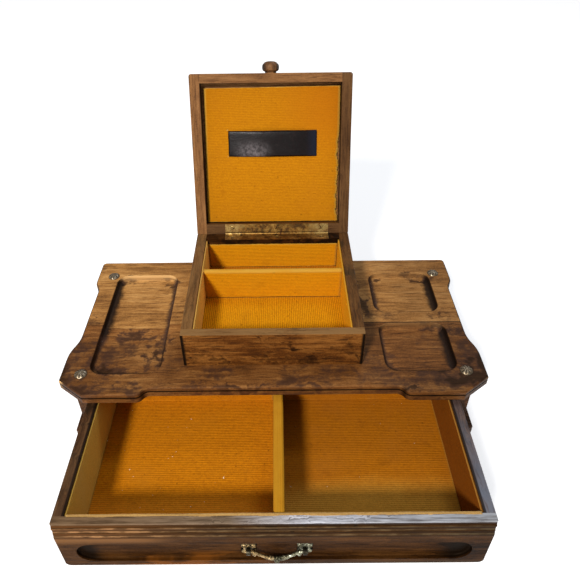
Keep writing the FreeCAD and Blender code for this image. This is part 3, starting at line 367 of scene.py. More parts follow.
# dark stains and knots: x, y, reach across, reach along y, strength; x and z on the two upright fronts
boardStains = {
    "top_board_front": [
        (-124, -17, 17, 6, 0.9), (-132, -26, 12, 11, 0.85), (-124, -33, 8, 11, 0.75), (-101, -26, 8, 9, 0.8),
        (-144, -40, 17, 15, 0.8), (-141, -58, 20, 10, 1.0), (-112, -58, 14, 4, 0.5), (-101, -47, 6, 13, 0.95),
        (-88, -32, 8, 9, 0.8), (-84, -56, 12, 12, 0.45), (-178, -30, 14, 22, 1.0), (-164, -34, 10, 9, 0.7),
        (-176, -66, 15, 30, 1.0), (-162, -50, 9, 12, 0.5), (-160, -84, 42, 8, 0.9), (-120, -86, 26, 6, 0.8),
        (-136, -72, 16, 6, 0.6), (158, -77, 42, 13, 1.1), (136, -72, 26, 9, 0.8), (178, -62, 16, 30, 1.1),
        (110, -80, 34, 9, 0.7), (168, -17, 10, 9, 0.85), (174, -40, 8, 20, 0.7), (148, -12, 12, 6, 0.9),
        (142, -30, 14, 20, 0.35), (103, -52, 7, 13, 0.6), (128, -48, 20, 12, 0.2), (-50, -68, 20, 7, 0.7),
        (14, -72, 13, 13, 0.85), (48, -71, 34, 10, 0.6), (-24, -85, 36, 4.5, 0.9), (24, -85, 18, 4, 0.8),
        (84, -74, 22, 12, 0.6), (110, -88, 16, 4, 1.0), (-70, -84, 30, 4, 0.6), (82, -50, 9, 14, 0.5)],
    "top_board_back": [
        (84, 20, 7, 20, 1.1), (80, 44, 6, 16, 0.6), (-103, 60, 8, 9, 0.9), (-151, 62, 12, 7, 0.9), (101, 62, 9, 6, 0.9),
        (146, 62, 12, 6, 0.9), (-172, 76, 10, 10, 0.5), (-166, 6, 14, 0.9, 0.95), (168, 2, 14, 8, 0.5),
        (92, 4, 16, 8, 0.5), (-170, -2, 8, 8, 0.5), (-90, 10, 10, 26, 0.35), (150, 9, 8, 2, 0.7), (120, 4, 40, 2, 0.4)],
    "box_side_right": [(70, 22, 7, 22, 0.95), (72, -40, 5, 14, 0.6), (70, 70, 8, 16, 0.8)],
    "box_side_left": [(-70, 74, 8, 14, 0.7), (-72, -30, 5, 20, 0.35)],
    "box_back": [(-30, 84, 26, 7, 1.0), (22, 83, 20, 6, 1.0), (58, 84, 10, 9, 0.9), (-62, 85, 6, 8, 0.6)],
    "box_front": [(14, 98, 9, 5, 0.75), (-45, 79, 20, 5, 0.6), (-8, 82, 13, 5, 0.5), (56, 93, 18, 6, 0.45),
                  (-70, 86, 5, 14, 0.45), (71, 88, 4, 16, 0.45), (30, 77, 30, 4, 0.5), (4, 108.5, 20, 2, 0.4),
                  (-52, 108.5, 14, 2, 0.3)],
    "drawer_front": [(-118, 40, 20, 4, 0.4), (136, 30, 20, 16, 0.6), (60, 62, 20, 2, 0.6), (0, 60, 60, 2, 0.5),
                     (100, 44, 30, 6, 0.4), (-60, 36, 14, 5, 0.3)],
    "drawer_side_left": [(-147, -142, 9, 9, 0.75), (-147, -112, 9, 5, 0.7),
                         (-147, -92, 9, 7, 0.8), (-147, -168, 9, 6, 0.6), (-147, -60, 9, 14, 0.6)],
    "drawer_side_right": [(147, -120, 9, 20, 0.6), (147, -170, 9, 12, 0.6)],
}


def upperPart(look, v, place):
    # 1 on the upper part of a piece, where hands rub it
    low = v.get("wornFrom", 0.0)
    return look.span(look.split(place)[2], (low - 1) * mm, low * mm)


# the three trays: middle, half size, corner radius, in mm, then how dark the left and right walls are painted, with
# dirt and painted shade
trayPlaces = [(-124.5, 0.25, 29.8, 67.25, 11, 1.0, 0.6), (124.5, 37.9, 29.8, 29.65, 11, 0.7, 1.0),
              (124.5, -37.4, 29.8, 29.65, 11, 0.45, 1.0)]


def trayEdge(look, x, y, tray):
    # distance in metres from a tray's wall, and how dark the wall is painted there
    cx, cy, halfX, halfY, corner = (value * mm for value in tray[:5])
    offX = look.calc("SUBTRACT", x, cx)
    overX = look.calc("SUBTRACT", look.calc("ABSOLUTE", offX), halfX - corner)
    overY = look.calc("SUBTRACT", look.calc("ABSOLUTE", look.calc("SUBTRACT", y, cy)), halfY - corner)
    outX, outY = look.calc("MAXIMUM", overX, 0.0), look.calc("MAXIMUM", overY, 0.0)
    bowed = look.calc("SQRT", look.calc("ADD", look.calc("MULTIPLY", outX, outX), look.calc("MULTIPLY", outY, outY)))
    inside = look.calc("MINIMUM", look.calc("MAXIMUM", overX, overY), 0.0)
    edge = look.calc("SUBTRACT", look.calc("ADD", bowed, inside), corner)
    beside = look.span(look.calc("SUBTRACT", overX, overY), -0.004, 0.006)
    return edge, look.calc("MULTIPLY", beside, look.span(offX, -0.01, 0.01, to=tray[5:]))


def stainedWood(name, v, stains=()):
    tone = {key: value for key, value in woodTones[v["tone"]].items()}
    for key in ("dark", "mid", "light"):
        tone[key] = tuple(c * v.get("shade", 1.0) for c in tone[key])
    look = Look(name)
    place = look.place
    if v.get("lid"):
        node = look.tree.nodes.new("ShaderNodeMapping")
        node.vector_type = "TEXTURE"
        look.feed(node.inputs["Vector"], place)
        node.inputs["Location"].default_value = lidPlace * mm
        node.inputs["Rotation"].default_value = (lidTurn, 0, 0)
        place = node.outputs[0]
    x, y, z = look.split(place)
    along, a, b = {"x": (x, y, z), "y": (y, x, z), "z": (z, x, y)}[v["grain"]]
    seed = v["seed"]
    fibre = look.join(along, a, b)
    # the fibres wander gently, more near a knot
    bend = look.grain(look.stretch(fibre, (5, 14, 14), (seed, 0, 0)), 1.0, 2.0)
    bend = look.calc("MULTIPLY", look.calc("SUBTRACT", bend, 0.5), v.get("bend", 0.005))
    spots = None
    # the stains' outlines wander too
    driftX = look.calc("MULTIPLY", look.calc("SUBTRACT", look.grain(place, 62, 3.0, 0.6), 0.5), 0.055)
    driftY = look.calc("MULTIPLY", look.calc("SUBTRACT", look.grain(look.stretch(place, (1, 1, 1), (3, 7, 1)), 62, 3.0, 0.6),
                                             0.5), 0.045)
    seen = look.join(look.calc("ADD", x, driftX), look.calc("ADD", z if v.get("upright") else y, driftY), 0.0)
    for sx, sy, reachX, reachY, strength in stains:
        spot = look.calc("MULTIPLY", look.near(seen, sx, sy, reachX * 1.3, reachY * 1.3), strength)
        spots = spot if spots is None else look.calc("MAXIMUM", spots, spot)
    if spots is not None:
        bend = look.calc("ADD", bend, look.calc("MULTIPLY", spots, 0.003))
    fibre = look.join(along, look.calc("ADD", a, bend), b)
    # yearly rings about the heart of the tree
    node = look.tree.nodes.new("ShaderNodeTexWave")
    node.wave_type, node.rings_direction, node.wave_profile = "RINGS", "X", "SAW"
    heart = (seed * 0.07, -v["heart"][0] * mm, -v["heart"][1] * mm)
    look.feed(node.inputs["Vector"], look.stretch(fibre, (0.12, 1, 1), heart))
    for socket, value in (("Scale", 0.314 / (v["ring"] * mm)), ("Distortion", 1.4), ("Detail", 3.0),
                          ("Detail Scale", 0.35), ("Detail Roughness", 0.6)):
        node.inputs[socket].default_value = value
    rings = node.outputs["Fac"]
    streaks = look.grain(look.stretch(fibre, (22, 300, 300), (0, seed, 0)), 1.0, 5.0, 0.62)
    short = look.grain(look.stretch(fibre, (48, 640, 640), (0, 0, seed)), 1.0, 4.0, 0.65)
    pores = look.span(look.grain(look.stretch(fibre, (65, 1150, 1150), (seed, 0, 0)), 1.0, 2.0), 0.55, 0.66)
    patches = look.grain(look.stretch(fibre, (15, 27, 27), (0, 0, seed)), 1.0, 5.0, 0.62)
    value = look.calc("ADD", look.calc("MULTIPLY", rings, 0.08), look.calc("MULTIPLY", streaks, 0.50))
    value = look.calc("ADD", value, look.calc("MULTIPLY", short, 0.42))
    value = look.calc("ADD", value, look.calc("MULTIPLY", look.calc("SUBTRACT", patches, 0.5), 0.85))
    value = look.calc("ADD", look.calc("MULTIPLY", look.calc("SUBTRACT", value, 0.5), v.get("contrast", 1.0)), 0.5)
    value = look.calc("ADD", value, look.calc("MULTIPLY", look.calc("SUBTRACT", look.grain(place, 760, 3.0, 0.8), 0.5), 0.4))
    color = look.tones(value, [(0.24, tone["dark"]), (0.48, tone["mid"]), (0.72, tone["light"])])
    color = look.blend(look.calc("MULTIPLY", pores, 0.75), color, tone["dark"])
    if spots is not None:
        cloud = look.grain(place, 120, 5.0, 0.66, 0.6)
        ragged = look.calc("ADD", look.calc("MULTIPLY", cloud, 0.65), look.calc("MULTIPLY", streaks, 0.35))
        ragged = look.calc("ADD", spots, look.calc("MULTIPLY", look.calc("SUBTRACT", 0.5, ragged), 2.4))
        ragged = look.calc("MULTIPLY", look.span(ragged, 0.12, 0.92), look.span(spots, 0.0, 0.2))
        stain = look.blend(look.span(spots, 0.75, 1.05), tone.get("stain", tuple(c * 0.3 for c in tone["dark"])),
                           tuple(c * 0.25 for c in tone["dark"]))
        color = look.blend(look.calc("MULTIPLY", ragged, 0.86), color, stain)
    across, front, up = look.split(look.facing)
    if tone.get("side"):
        # faces that look left and right are painted much darker, partly end grain that took the most stain and partly
        # painted shade; faces that look front and back are a little darker as painted shade, and the groove in the
        # moulding is painted black as painted shade
        side = look.span(look.calc("ABSOLUTE", across), 0.25, 0.85, to=(0.0, 0.92))
        color = look.blend(side, color, tuple(c * 0.35 for c in tone["dark"]))
        color = look.blend(look.span(look.calc("ABSOLUTE", front), 0.3, 0.9, to=(0.0, 0.35)), color,
                           (0.10, 0.034, 0.008))
        grooveShade = look.calc("SUBTRACT", look.span(z, 68.9 * mm, 69.4 * mm), look.span(z, 70.4 * mm, 71.2 * mm))
        outside = look.calc("MAXIMUM", look.span(look.calc("ABSOLUTE", x), 162 * mm, 166 * mm),
                            look.span(look.calc("ABSOLUTE", y), 76 * mm, 80 * mm))
        color = look.blend(look.calc("MULTIPLY", grooveShade, look.calc("MULTIPLY", outside, 0.9)), color,
                           (0.004, 0.002, 0.001))
        # painted highlight: the back wall's lip is painted pale where it faces the light, at its best in the long tray
        lip = look.calc("MULTIPLY", look.span(front, -0.25, -0.7), look.span(look.calc("ABSOLUTE", y), 78 * mm, 74 * mm))
        pale = look.calc("MULTIPLY", lip, look.span(x, 60 * mm, -60 * mm, to=(0.15, 0.95)))
        pale = look.calc("MULTIPLY", pale, look.span(z, 70.8 * mm, 72.2 * mm, to=(0.25, 1.0)))
        color = look.blend(pale, color, (0.720, 0.430, 0.170))
        # dirt rubbed into the tray walls together with painted shade: black where they face the light least, else
        # purple-brown
        toFront = look.span(look.calc("ADD", y, look.calc("MULTIPLY", x, 0.12)), -70 * mm, -22 * mm, to=(0.1, 1.0))
        speck = look.span(look.grain(place, 420, 3.0, 0.7), 0.56, 0.66)
        for tray in trayPlaces:
            edge, wallDark = trayEdge(look, x, y, tray)
            wallDark = look.calc("MULTIPLY", wallDark, toFront) if tray[0] < 0 else wallDark
            reach = look.calc("MULTIPLY", look.calc("ADD", look.calc("MULTIPLY", wallDark, 0.007), 0.0015),
                              look.calc("ADD", look.calc("MULTIPLY", cloud, 1.2), 0.25))
            wallShadeAndDirt = look.span(look.calc("DIVIDE", look.calc("MULTIPLY", edge, -1.0), reach), 0.45, 1.3, to=(1.0, 0.0))
            wallShadeAndDirt = look.calc("MULTIPLY", wallShadeAndDirt, look.span(edge, 0.0008, -0.0004))
            wallShadeAndDirt = look.calc("MULTIPLY", wallShadeAndDirt, look.span(wallDark, 0.0, 0.7, to=(0.08, 0.95)))
            dirt = look.blend(look.calc("MULTIPLY", speck, 0.5), (0.040, 0.018, 0.012), (0.150, 0.105, 0.085))
            dirt = look.blend(look.span(wallDark, 0.70, 0.9), dirt, (0.009, 0.005, 0.004))
            color = look.blend(wallShadeAndDirt, color, dirt)
        # painted shade: the rounded top arrises of the outer edges, where they turn away from the light, are painted
        # dark
        shadedArris = look.calc("MULTIPLY", look.span(up, 0.985, 0.88), look.span(z, 71.6 * mm, 72.2 * mm))
        shadedArris = look.calc("MULTIPLY", look.calc("MULTIPLY", shadedArris, outside), look.span(front, -0.5, -0.15))
        color = look.blend(look.calc("MULTIPLY", shadedArris, 0.85), color, (0.012, 0.006, 0.003))
        if name.startswith("top_board_front"):
            # paler by the joint on the left, and the joint itself a dark line
            pale = look.calc("MULTIPLY", look.span(y, -34 * mm, -12 * mm), look.span(x, 10 * mm, -70 * mm))
            color = look.blend(pale, color, (1.38, 1.38, 1.36), "MULTIPLY")
            floor = look.calc("MULTIPLY", look.span(z, 71 * mm, 69.5 * mm), look.span(x, 60 * mm, 90 * mm))
            floor = look.calc("MULTIPLY", floor, look.span(up, 0.5, 0.9))
            color = look.blend(floor, color, (1.28, 1.28, 1.26), "MULTIPLY")
            joint = look.calc("MULTIPLY", look.span(y, -7.3 * mm, -6.7 * mm), look.span(x, -90 * mm, 120 * mm, to=(0.3, 0.95)))
            color = look.blend(joint, color, (0.014, 0.007, 0.004))
        # the right end of the top is darker
        dull = look.span(look.calc("ADD", x, look.calc("MULTIPLY", look.calc("SUBTRACT", patches, 0.5), 0.12)),
                         70 * mm, 150 * mm, to=(0.0, 1.0))
        color = look.blend(look.calc("MULTIPLY", dull, v.get("dull", 0.62)), color, (0.42, 0.40, 0.42), "MULTIPLY")
    if v.get("reeds"):
        # reeds: painted highlights on their crests and painted shade in their valleys, paler to the left as painted
        # light; the recess is black at its ends as painted shadow
        toLeft, toRight = look.span(x, -20 * mm, -150 * mm), look.span(x, 40 * mm, 150 * mm)
        waves = look.calc("COSINE", look.calc("MULTIPLY", look.calc("SUBTRACT", z, 57.8 * mm), math.tau / (4.0 * mm)))
        waves = look.calc("ADD", waves, look.calc("MULTIPLY", look.calc("SUBTRACT", short, 0.5), 1.6))
        band = look.calc("MULTIPLY", look.span(z, 46.5 * mm, 48 * mm), look.span(z, 61.0 * mm, 60.2 * mm))
        color = look.blend(look.calc("MULTIPLY", band, look.span(waves, 0.2, -0.8, to=(0.0, 0.75))), color,
                           look.blend(toLeft, (0.020, 0.010, 0.004), (0.110, 0.042, 0.011)))
        crestHighlight = look.blend(toRight, look.blend(toLeft, v["reeds"], (0.420, 0.210, 0.085)), (0.080, 0.058, 0.030))
        crestHighlight = look.blend(look.span(look.grain(look.stretch(place, (70, 60, 260)), 1.0, 3.0, 0.65), 0.40, 0.64, to=(0.75, 0.0)), crestHighlight, (0.034, 0.016, 0.006))
        color = look.blend(look.calc("MULTIPLY", band, look.span(waves, 0.0, 0.9, to=(0.0, 0.8))), color, crestHighlight)
        # painted highlight along the top of the field below the reeds, strongest at the left
        high = look.calc("MULTIPLY", look.span(z, 38 * mm, 46 * mm), look.span(z, 48 * mm, 46.5 * mm))
        high = look.calc("MULTIPLY", high, look.span(x, -60 * mm, -100 * mm, to=(0.12, 0.75)))
        color = look.blend(high, color, (0.200, 0.088, 0.028))
        low = look.calc("MULTIPLY", look.span(z, 27 * mm, 14 * mm), look.span(look.calc("ADD", look.calc(
            "ABSOLUTE", look.calc("ADD", x, 62 * mm)), look.calc("MULTIPLY", patches, 0.05)), 95 * mm, 60 * mm))
        color = look.blend(look.calc("MULTIPLY", low, look.span(look.grain(look.stretch(place, (26, 10, 120)), 1.0, 4.0, 0.62), 0.44, 0.62, to=(0.05, 0.9))), color,
                           (0.150, 0.046, 0.005))
        # painted sheen along the bottom edge of the front, from the middle to the right
        shine = look.calc("MULTIPLY", look.span(z, 15 * mm, 12 * mm), look.span(x, -10 * mm, 60 * mm))
        color = look.blend(look.calc("MULTIPLY", shine, 0.5), color, (0.042, 0.025, 0.013))
        # painted shadow: the recess is black at its ends
        recess = look.calc("MULTIPLY", look.span(y, -198.3 * mm, -196.8 * mm), look.span(z, 44 * mm, 42 * mm))
        ends = look.span(look.calc("ADD", look.calc("ABSOLUTE", look.calc("ADD", x, 4 * mm)), look.calc(
            "MULTIPLY", look.calc("SUBTRACT", patches, 0.5), 0.03)), 118 * mm, 131 * mm, to=(0.0, 0.93))
        color = look.blend(look.calc("MULTIPLY", recess, ends), color, (0.004, 0.002, 0.001))
    if v.get("shadedEnds"):
        # painted shade: the rounded corners at both ends of the front are painted black
        ends = look.span(look.calc("ABSOLUTE", x), v["shadedEnds"][0] * mm, v["shadedEnds"][1] * mm)
        ends = look.calc("MULTIPLY", ends, look.span(look.calc("ABSOLUTE", across), 0.6, 0.3, to=(0.35, 1.0)))
        color = look.blend(look.calc("MULTIPLY", ends, look.span(up, 0.9, 0.5)), color, (0.004, 0.002, 0.001))
    rough = look.span(streaks, 0.2, 0.8, to=(0.62, 0.46))
    if v.get("worn"):
        # upward faces rubbed pale, in patches
        rubbed = look.calc("ADD", look.calc("MULTIPLY", patches, 0.45), look.calc("MULTIPLY", short, 0.55))
        faceUp = look.span(up, *v.get("upFrom", (0.6, 0.95)))
        if v.get("dustAndReflection"):
            faceUp = look.calc("MAXIMUM", faceUp, look.span(z, 60.4 * mm, 61.2 * mm))
        rubbed = look.calc("MULTIPLY", faceUp,
                           look.span(rubbed, 0.36, 0.60, to=(0.35, 1.0)))
        rubbed = look.calc("MULTIPLY", rubbed, upperPart(look, v, place))
        tint = wornTint
        if v.get("dustAndReflection"):
            # brown where the hand lands at the left, silvery from the middle on, where the rubbed top carries a painted
            # reflection of the sky
            tint = look.tones(look.span(x, -150 * mm, 150 * mm), [
                (0.0, (0.195, 0.118, 0.062)), (0.35, (0.270, 0.195, 0.130)), (0.66, (0.780, 0.800, 0.880)),
                (1.0, (0.360, 0.380, 0.410))])
            tint = look.blend(look.span(short, 0.3, 0.7, to=(0.35, 0.0)), tint, (0.05, 0.03, 0.015))
        elif v.get("wearAndReflectionTint"):
            # a tint of wear, or on the right side a painted grey-blue reflection
            tint = v["wearAndReflectionTint"]
            rubbed = look.calc("MULTIPLY", rubbed, look.span(y, -90 * mm, -185 * mm, to=(0.3, 1.0)))
        color = look.blend(look.calc("MULTIPLY", rubbed, v["worn"]), color, tint)
    if v.get("lid"):
        # painted shade: the frame's inner walls lie in the lining's shadow and are painted near black
        innerShade = look.calc("MULTIPLY", look.span(look.calc("ABSOLUTE", across), 0.5, 0.8), look.span(
            look.calc("ABSOLUTE", x), 71 * mm, 70 * mm))
        if name.startswith("lid_rail_front"):
            innerShade = look.span(up, -0.5, -0.85)
        color = look.blend(look.calc("MULTIPLY", innerShade, 0.93), color, (0.008, 0.004, 0.003))
    if v.get("gap"):
        # painted shade in the gap between each side and its lining
        gap = look.calc("MULTIPLY", look.span(look.calc("ABSOLUTE", x), 145.6 * mm, 144.7 * mm), look.span(up, 0.2, 0.6))
        color = look.blend(look.calc("MULTIPLY", gap, 0.9), color, (0.006, 0.003, 0.002))
    height = look.calc("SUBTRACT", look.calc("ADD", look.calc("MULTIPLY", short, 0.5), look.calc(
        "MULTIPLY", streaks, 0.5)), pores)
    look.relief(height, 0.10, 0.5)
    return look.finish(color, rough, Specular_IOR_Level=v.get("shine", 0.16), Specular_Tint=(1.0, 0.74, 0.50))


bevelWidths = {"top_board_back": 0.6, "top_board_front": 0.6, "base_board": 0.35,
               "drawer_front": 0.35, "box_front": 0.6, "box_side_left": 0.6, "box_side_right": 0.6}


def dressWood():
    for node, v in woodPieces.items():
        piece = nodes[node]
        wood = stainedWood(node + "_wood", v, boardStains.get(node, ()))
        for slot in piece.material_slots:
            slot.material = wood
        # arrises eased by sanding
        weld = piece.modifiers.new("joined", "WELD")
        weld.merge_threshold = 0.00001
        eased = piece.modifiers.new("eased", "BEVEL")
        eased.width = bevelWidths.get(node, 0.5) * mm
        eased.segments = 2
        eased.limit_method, eased.angle_limit = "ANGLE", math.radians(38)


dressWood()
print("wood dressed")


# the knob, turned in one piece: distance from its axis, and height off the rail
knobValues = {"up": 8.15, "front": -148.5, "around": 72,
              "profile": [(0, -1.5), (4.6, -1.5), (5.3, 0.0), (5.1, 0.8), (5.5, 1.5), (6.7, 2.0),
                          (7.5, 3.0), (7.8, 4.3), (7.8, 5.6), (7.6, 6.8), (7.0, 7.9), (6.5, 8.2), (6.2, 8.5),
                          (5.4, 9.3), (3.8, 9.95), (1.9, 10.25), (0.7, 10.3)]}


def turnedKnob(v):
    line = [Vector((p[0], p[1])) for p in v["profile"]]
    points = []
    for i in range(len(line) - 1):
        before, after = line[max(i - 1, 0)], line[min(i + 2, len(line) - 1)]
        for k in range(4):
            t = k / 4
            points.append(0.5 * ((2 * line[i]) + (line[i + 1] - before) * t + (2 * before - 5 * line[i] + 4 * line[i + 1]
                          - after) * t * t + (3 * line[i] - before - 3 * line[i + 1] + after) * t ** 3))
    verts, faces = [], []
    w = v["around"]
    points = [p for p in points if p[0] > 0.5]
    for r, h in points:
        for k in range(w):
            a = math.tau * k / w
            verts.append(onLid(r * math.cos(a), v["front"] - h, v["up"] + r * math.sin(a)))
    for i in range(len(points) - 1):
        for k in range(w):
            k2 = (k + 1) % w
            faces.append((i * w + k, i * w + k2, (i + 1) * w + k2, (i + 1) * w + k))
    faces.append(tuple(reversed(range(w))))
    faces.append(tuple((len(points) - 1) * w + k for k in range(w)))
    wood = stainedWood("knob_wood", {"tone": "knob", "grain": "y", "seed": 17, "heart": (14, 30), "ring": 3,
                                     "lid": True, "shine": 0.5})
    makePiece("turned_knob", verts, faces, "lid", [wood], ["lid_knob"])


turnedKnob(knobValues)


# metal

metalTones = {
    "agedBrass": {"bright": (0.56, 0.38, 0.13), "dull": (0.20, 0.105, 0.030), "tarnish": (0.020, 0.010, 0.004),
                  "spread": 0.50, "rough": (0.28, 0.55), "cell": 230, "brownMiddle": (4, 30, 41)},
    "castPull": {"bright": (0.60, 0.51, 0.34), "dull": (0.150, 0.115, 0.062), "tarnish": (0.012, 0.010, 0.006),
                 "spread": 0.50, "rough": (0.30, 0.55), "cell": 300, "specked": 0.35, "golden": (-6, 10)},
    "darkPost": {"bright": (0.10, 0.085, 0.055), "dull": (0.022, 0.018, 0.011), "tarnish": (0.008, 0.006, 0.004),
                 "spread": 0.62, "rough": (0.38, 0.62), "cell": 520},
    "nailSteel": {"bright": (0.46, 0.37, 0.25), "dull": (0.20, 0.145, 0.088), "tarnish": (0.030, 0.020, 0.012),
                  "spread": 0.50, "rough": (0.30, 0.52), "cell": 330},
}


def agedMetal(name, v):
    look = Look(name)
    clouds = look.grain(look.place, v["cell"], 4.0, 0.6)
    specks = look.grain(look.place, v["cell"] * 7, 2.0, 0.6)
    share = look.span(clouds, v["spread"] - 0.16, v["spread"] + 0.16)
    color = look.blend(share, v["dull"], v["bright"])
    color = look.blend(look.span(specks, 0.52, 0.70, to=(0.0, v.get("specked", 0.8))), color, v["tarnish"])
    x = look.split(look.place)[0]
    if v.get("brownMiddle"):
        # the leaves kept their gold only at the two ends
        middle, near, far = v["brownMiddle"]
        off = look.calc("ABSOLUTE", look.calc("SUBTRACT", x, middle * mm))
        off = look.calc("ADD", off, look.calc("MULTIPLY", look.calc("SUBTRACT", look.grain(look.place, 90, 3.0), 0.5), 0.03))
        brown = look.span(off, near * mm, far * mm, to=(0.86, 0.0))
        color = look.blend(brown, color, look.tones(look.grain(look.place, 170, 4.0, 0.72, 0.5), [
            (0.38, (0.040, 0.010, 0.003)), (0.50, (0.190, 0.085, 0.014)), (0.62, (0.340, 0.190, 0.045))]))
    if v.get("golden"):
        left, right = v["golden"]
        color = look.blend(look.span(x, right * mm, left * mm, to=(0.0, 0.65)), color, (1.0, 0.72, 0.34), "MULTIPLY")
        color = look.blend(look.span(x, left * mm, right * mm, to=(0.0, 0.8)), color, (0.80, 0.98, 1.06), "MULTIPLY")
        dark = look.span(look.calc("ABSOLUTE", look.calc("SUBTRACT", x, 3 * mm)), 4.2 * mm, 2.2 * mm, to=(0.0, 0.85))
        color = look.blend(dark, color, (0.034, 0.036, 0.018))
    patinaAndShade = look.layer("patinaAndShade")
    color = look.blend(patinaAndShade, color, v["tarnish"])
    rough = look.span(clouds, 0.3, 0.7, to=(v["rough"][1], v["rough"][0]))
    look.relief(look.calc("ADD", clouds, look.calc("MULTIPLY", specks, 0.5)), 0.12, 0.6)
    return look.finish(color, rough, Metallic=0.9)


agedBrass = agedMetal("aged_brass_dark", metalTones["agedBrass"])
castPull = agedMetal("cast_pull_metal", metalTones["castPull"])
nailSteel = agedMetal("nail_metal", metalTones["nailSteel"])
for node in ("hinge_leaf_box", "hinge_leaf_lid", "hinge_pin", "hinge_screws_box", "hinge_screws_lid"):
    for slot in nodes[node].material_slots:
        slot.material = agedBrass
darkPost = agedMetal("pull_post_metal", metalTones["darkPost"])
for node in ("pull_nuts", "pull_post_left", "pull_post_right"):
    for slot in nodes[node].material_slots:
        slot.material = darkPost


studValues = {"top": 74.0, "radius": 5.5, "dome": 2.6, "petals": 8, "rings": 16, "around": 64,
              "places": [(-160, -67.5), (160, -67.5), (-160, 67), (160, 67)]}


def hammeredStuds(v):
    verts, faces, patinaAndShade = [], [], []
    for n, (cx, cy) in enumerate(v["places"]):
        base = v["top"]
        first = len(verts)
        turn = 0.4 + n * 1.1
        for ring in range(1, v["rings"] + 1):
            share = ring / v["rings"]
            for k in range(v["around"]):
                a = math.tau * k / v["around"]
                petal = math.cos(v["petals"] * (a + turn)) * 0.5 + 0.5
                band = smooth(0.22, 0.40, share) * smooth(0.98, 0.80, share)
                lift = v["dome"] * (1 - share ** 2.4) ** 0.75
                lift -= band * (0.42 * (1 - petal) ** 1.5)
                lift -= 0.28 * math.exp(-((share - 0.27) / 0.06) ** 2)
                dent = wander(math.cos(a) * share * 2.6, math.sin(a) * share * 2.6, n * 3.0, 5)
                lift = max(0.05, lift + dent * 0.12 * smooth(1.0, 0.8, share))
                r = v["radius"] * share * (1 + 0.012 * math.sin(5 * a + n) * smooth(0.8, 1.0, share))
                r = min(r, v["radius"])
                verts.append((cx + r * math.cos(a), cy + r * math.sin(a), base + lift))
                patinaAndShade.append(min(0.9, band * (1 - petal) ** 2 * 0.8 + smooth(0.9, 1.0, share) * 0.7))
        top = len(verts)
        verts.append((cx, cy, base + v["dome"]))
        patinaAndShade.append(0.0)
        foot = len(verts)
        for k in range(v["around"]):
            a = math.tau * k / v["around"]
            verts.append((cx + v["radius"] * math.cos(a), cy + v["radius"] * math.sin(a), base))
            patinaAndShade.append(0.8)
        w = v["around"]
        for k in range(w):
            k2 = (k + 1) % w
            faces.append((top, first + k, first + k2))
            for ring in range(v["rings"] - 1):
                o = first + ring * w
                faces.append((o + k, o + w + k, o + w + k2, o + k2))
            o = first + (v["rings"] - 1) * w
            faces.append((o + k, foot + k, foot + k2, o + k2))
        faces.append(tuple(foot + k for k in reversed(range(w))))
    makePiece("corner_stud_heads", verts, faces, "case", [nailSteel], ["corner_studs"],
              {"patinaAndShade": patinaAndShade})


hammeredStuds(studValues)
print("studs made")


# the drawer pull
pullValues = {"middle": 2.0, "centres": 40.0, "up": 29.3, "plate": -195.0, "pivot": -199.25, "thick": 1.8,
              "core": 4.2, "lobe": 2.4, "lobes": [(0, 6.3), (0, -6.3), (3.45, 3.48), (-3.45, 3.48), (3.45, -3.48),
                                                  (-3.45, -3.48)],
              "wire": 1.2, "start": 18.2, "end": 22.1, "shoulder": 6.0, "drop": 7.6, "lean": 4.0, "voxel": 0.26}


def castRosette(name, side, v):
    # a cast plate of scrolls: each lobe carries a rolled rim and a boss
    cx = v["middle"] + side * v["centres"] / 2
    rings, around = 26, 132
    discs = [(0, 0, v["core"])] + [(x, z, v["lobe"]) for x, z in v["lobes"]]
    verts, faces, patinaAndShade = [], [], []
    for ring in range(1, rings + 1):
        for k in range(around):
            a = math.tau * k / around
            dx, dz = math.cos(a), math.sin(a)
            reach = 0.0
            for x, z, r in discs:
                b = x * dx + z * dz
                inside = b * b - x * x - z * z + r * r
                if inside >= 0:
                    reach = max(reach, b + math.sqrt(inside))
            share = ring / rings
            px, pz = dx * reach * share, dz * reach * share
            relief = -0.35
            for x, z, r in discs[1:]:
                d = math.hypot(px - x, pz - z)
                relief = max(relief, 0.62 * math.exp(-((d - 1.45) / 0.42) ** 2), 0.75 * math.exp(-(d / 0.62) ** 2))
            d = math.hypot(px, pz)
            relief = max(relief, 0.5 * math.exp(-((d - 2.9) / 0.5) ** 2))
            relief += 0.22 * wander(px * 0.9, pz * 0.9, side, 21)
            lift = (v["thick"] - 0.25 + relief) * smooth(1.0, 0.86, share) + 0.45 * smooth(0.86, 1.0, share)
            verts.append((cx + px, v["plate"] - max(0.3, lift), v["up"] + pz))
            patinaAndShade.append(min(1.0, max(0.0, 0.95 - relief * 1.5 + 0.5 * wander(px * 0.5, pz * 0.5, side * 3, 22))))
    w = around
    first = len(verts)
    for k in range(w):
        x, y, z = verts[(rings - 1) * w + k]
        verts.append((x, v["plate"], z))
        patinaAndShade.append(1.0)
    for ring in range(rings - 1):
        o = ring * w
        for k in range(w):
            k2 = (k + 1) % w
            faces.append((o + k, o + k2, o + w + k2, o + w + k))
    for k in range(w):
        k2 = (k + 1) % w
        o = (rings - 1) * w
        faces.append((o + k, o + k2, first + k2, first + k))
    verts.append((cx, v["plate"] - v["thick"] + 0.3, v["up"]))
    patinaAndShade.append(0.4)
    top = len(verts) - 1
    for k in range(w):
        faces.append((top, (k + 1) % w, k))
    faces.append(tuple(first + k for k in range(w)))
    makePiece(name, verts, faces, "drawer", [castPull], ["pull_rosette_left" if side < 0 else "pull_rosette_right"],
              {"patinaAndShade": patinaAndShade})


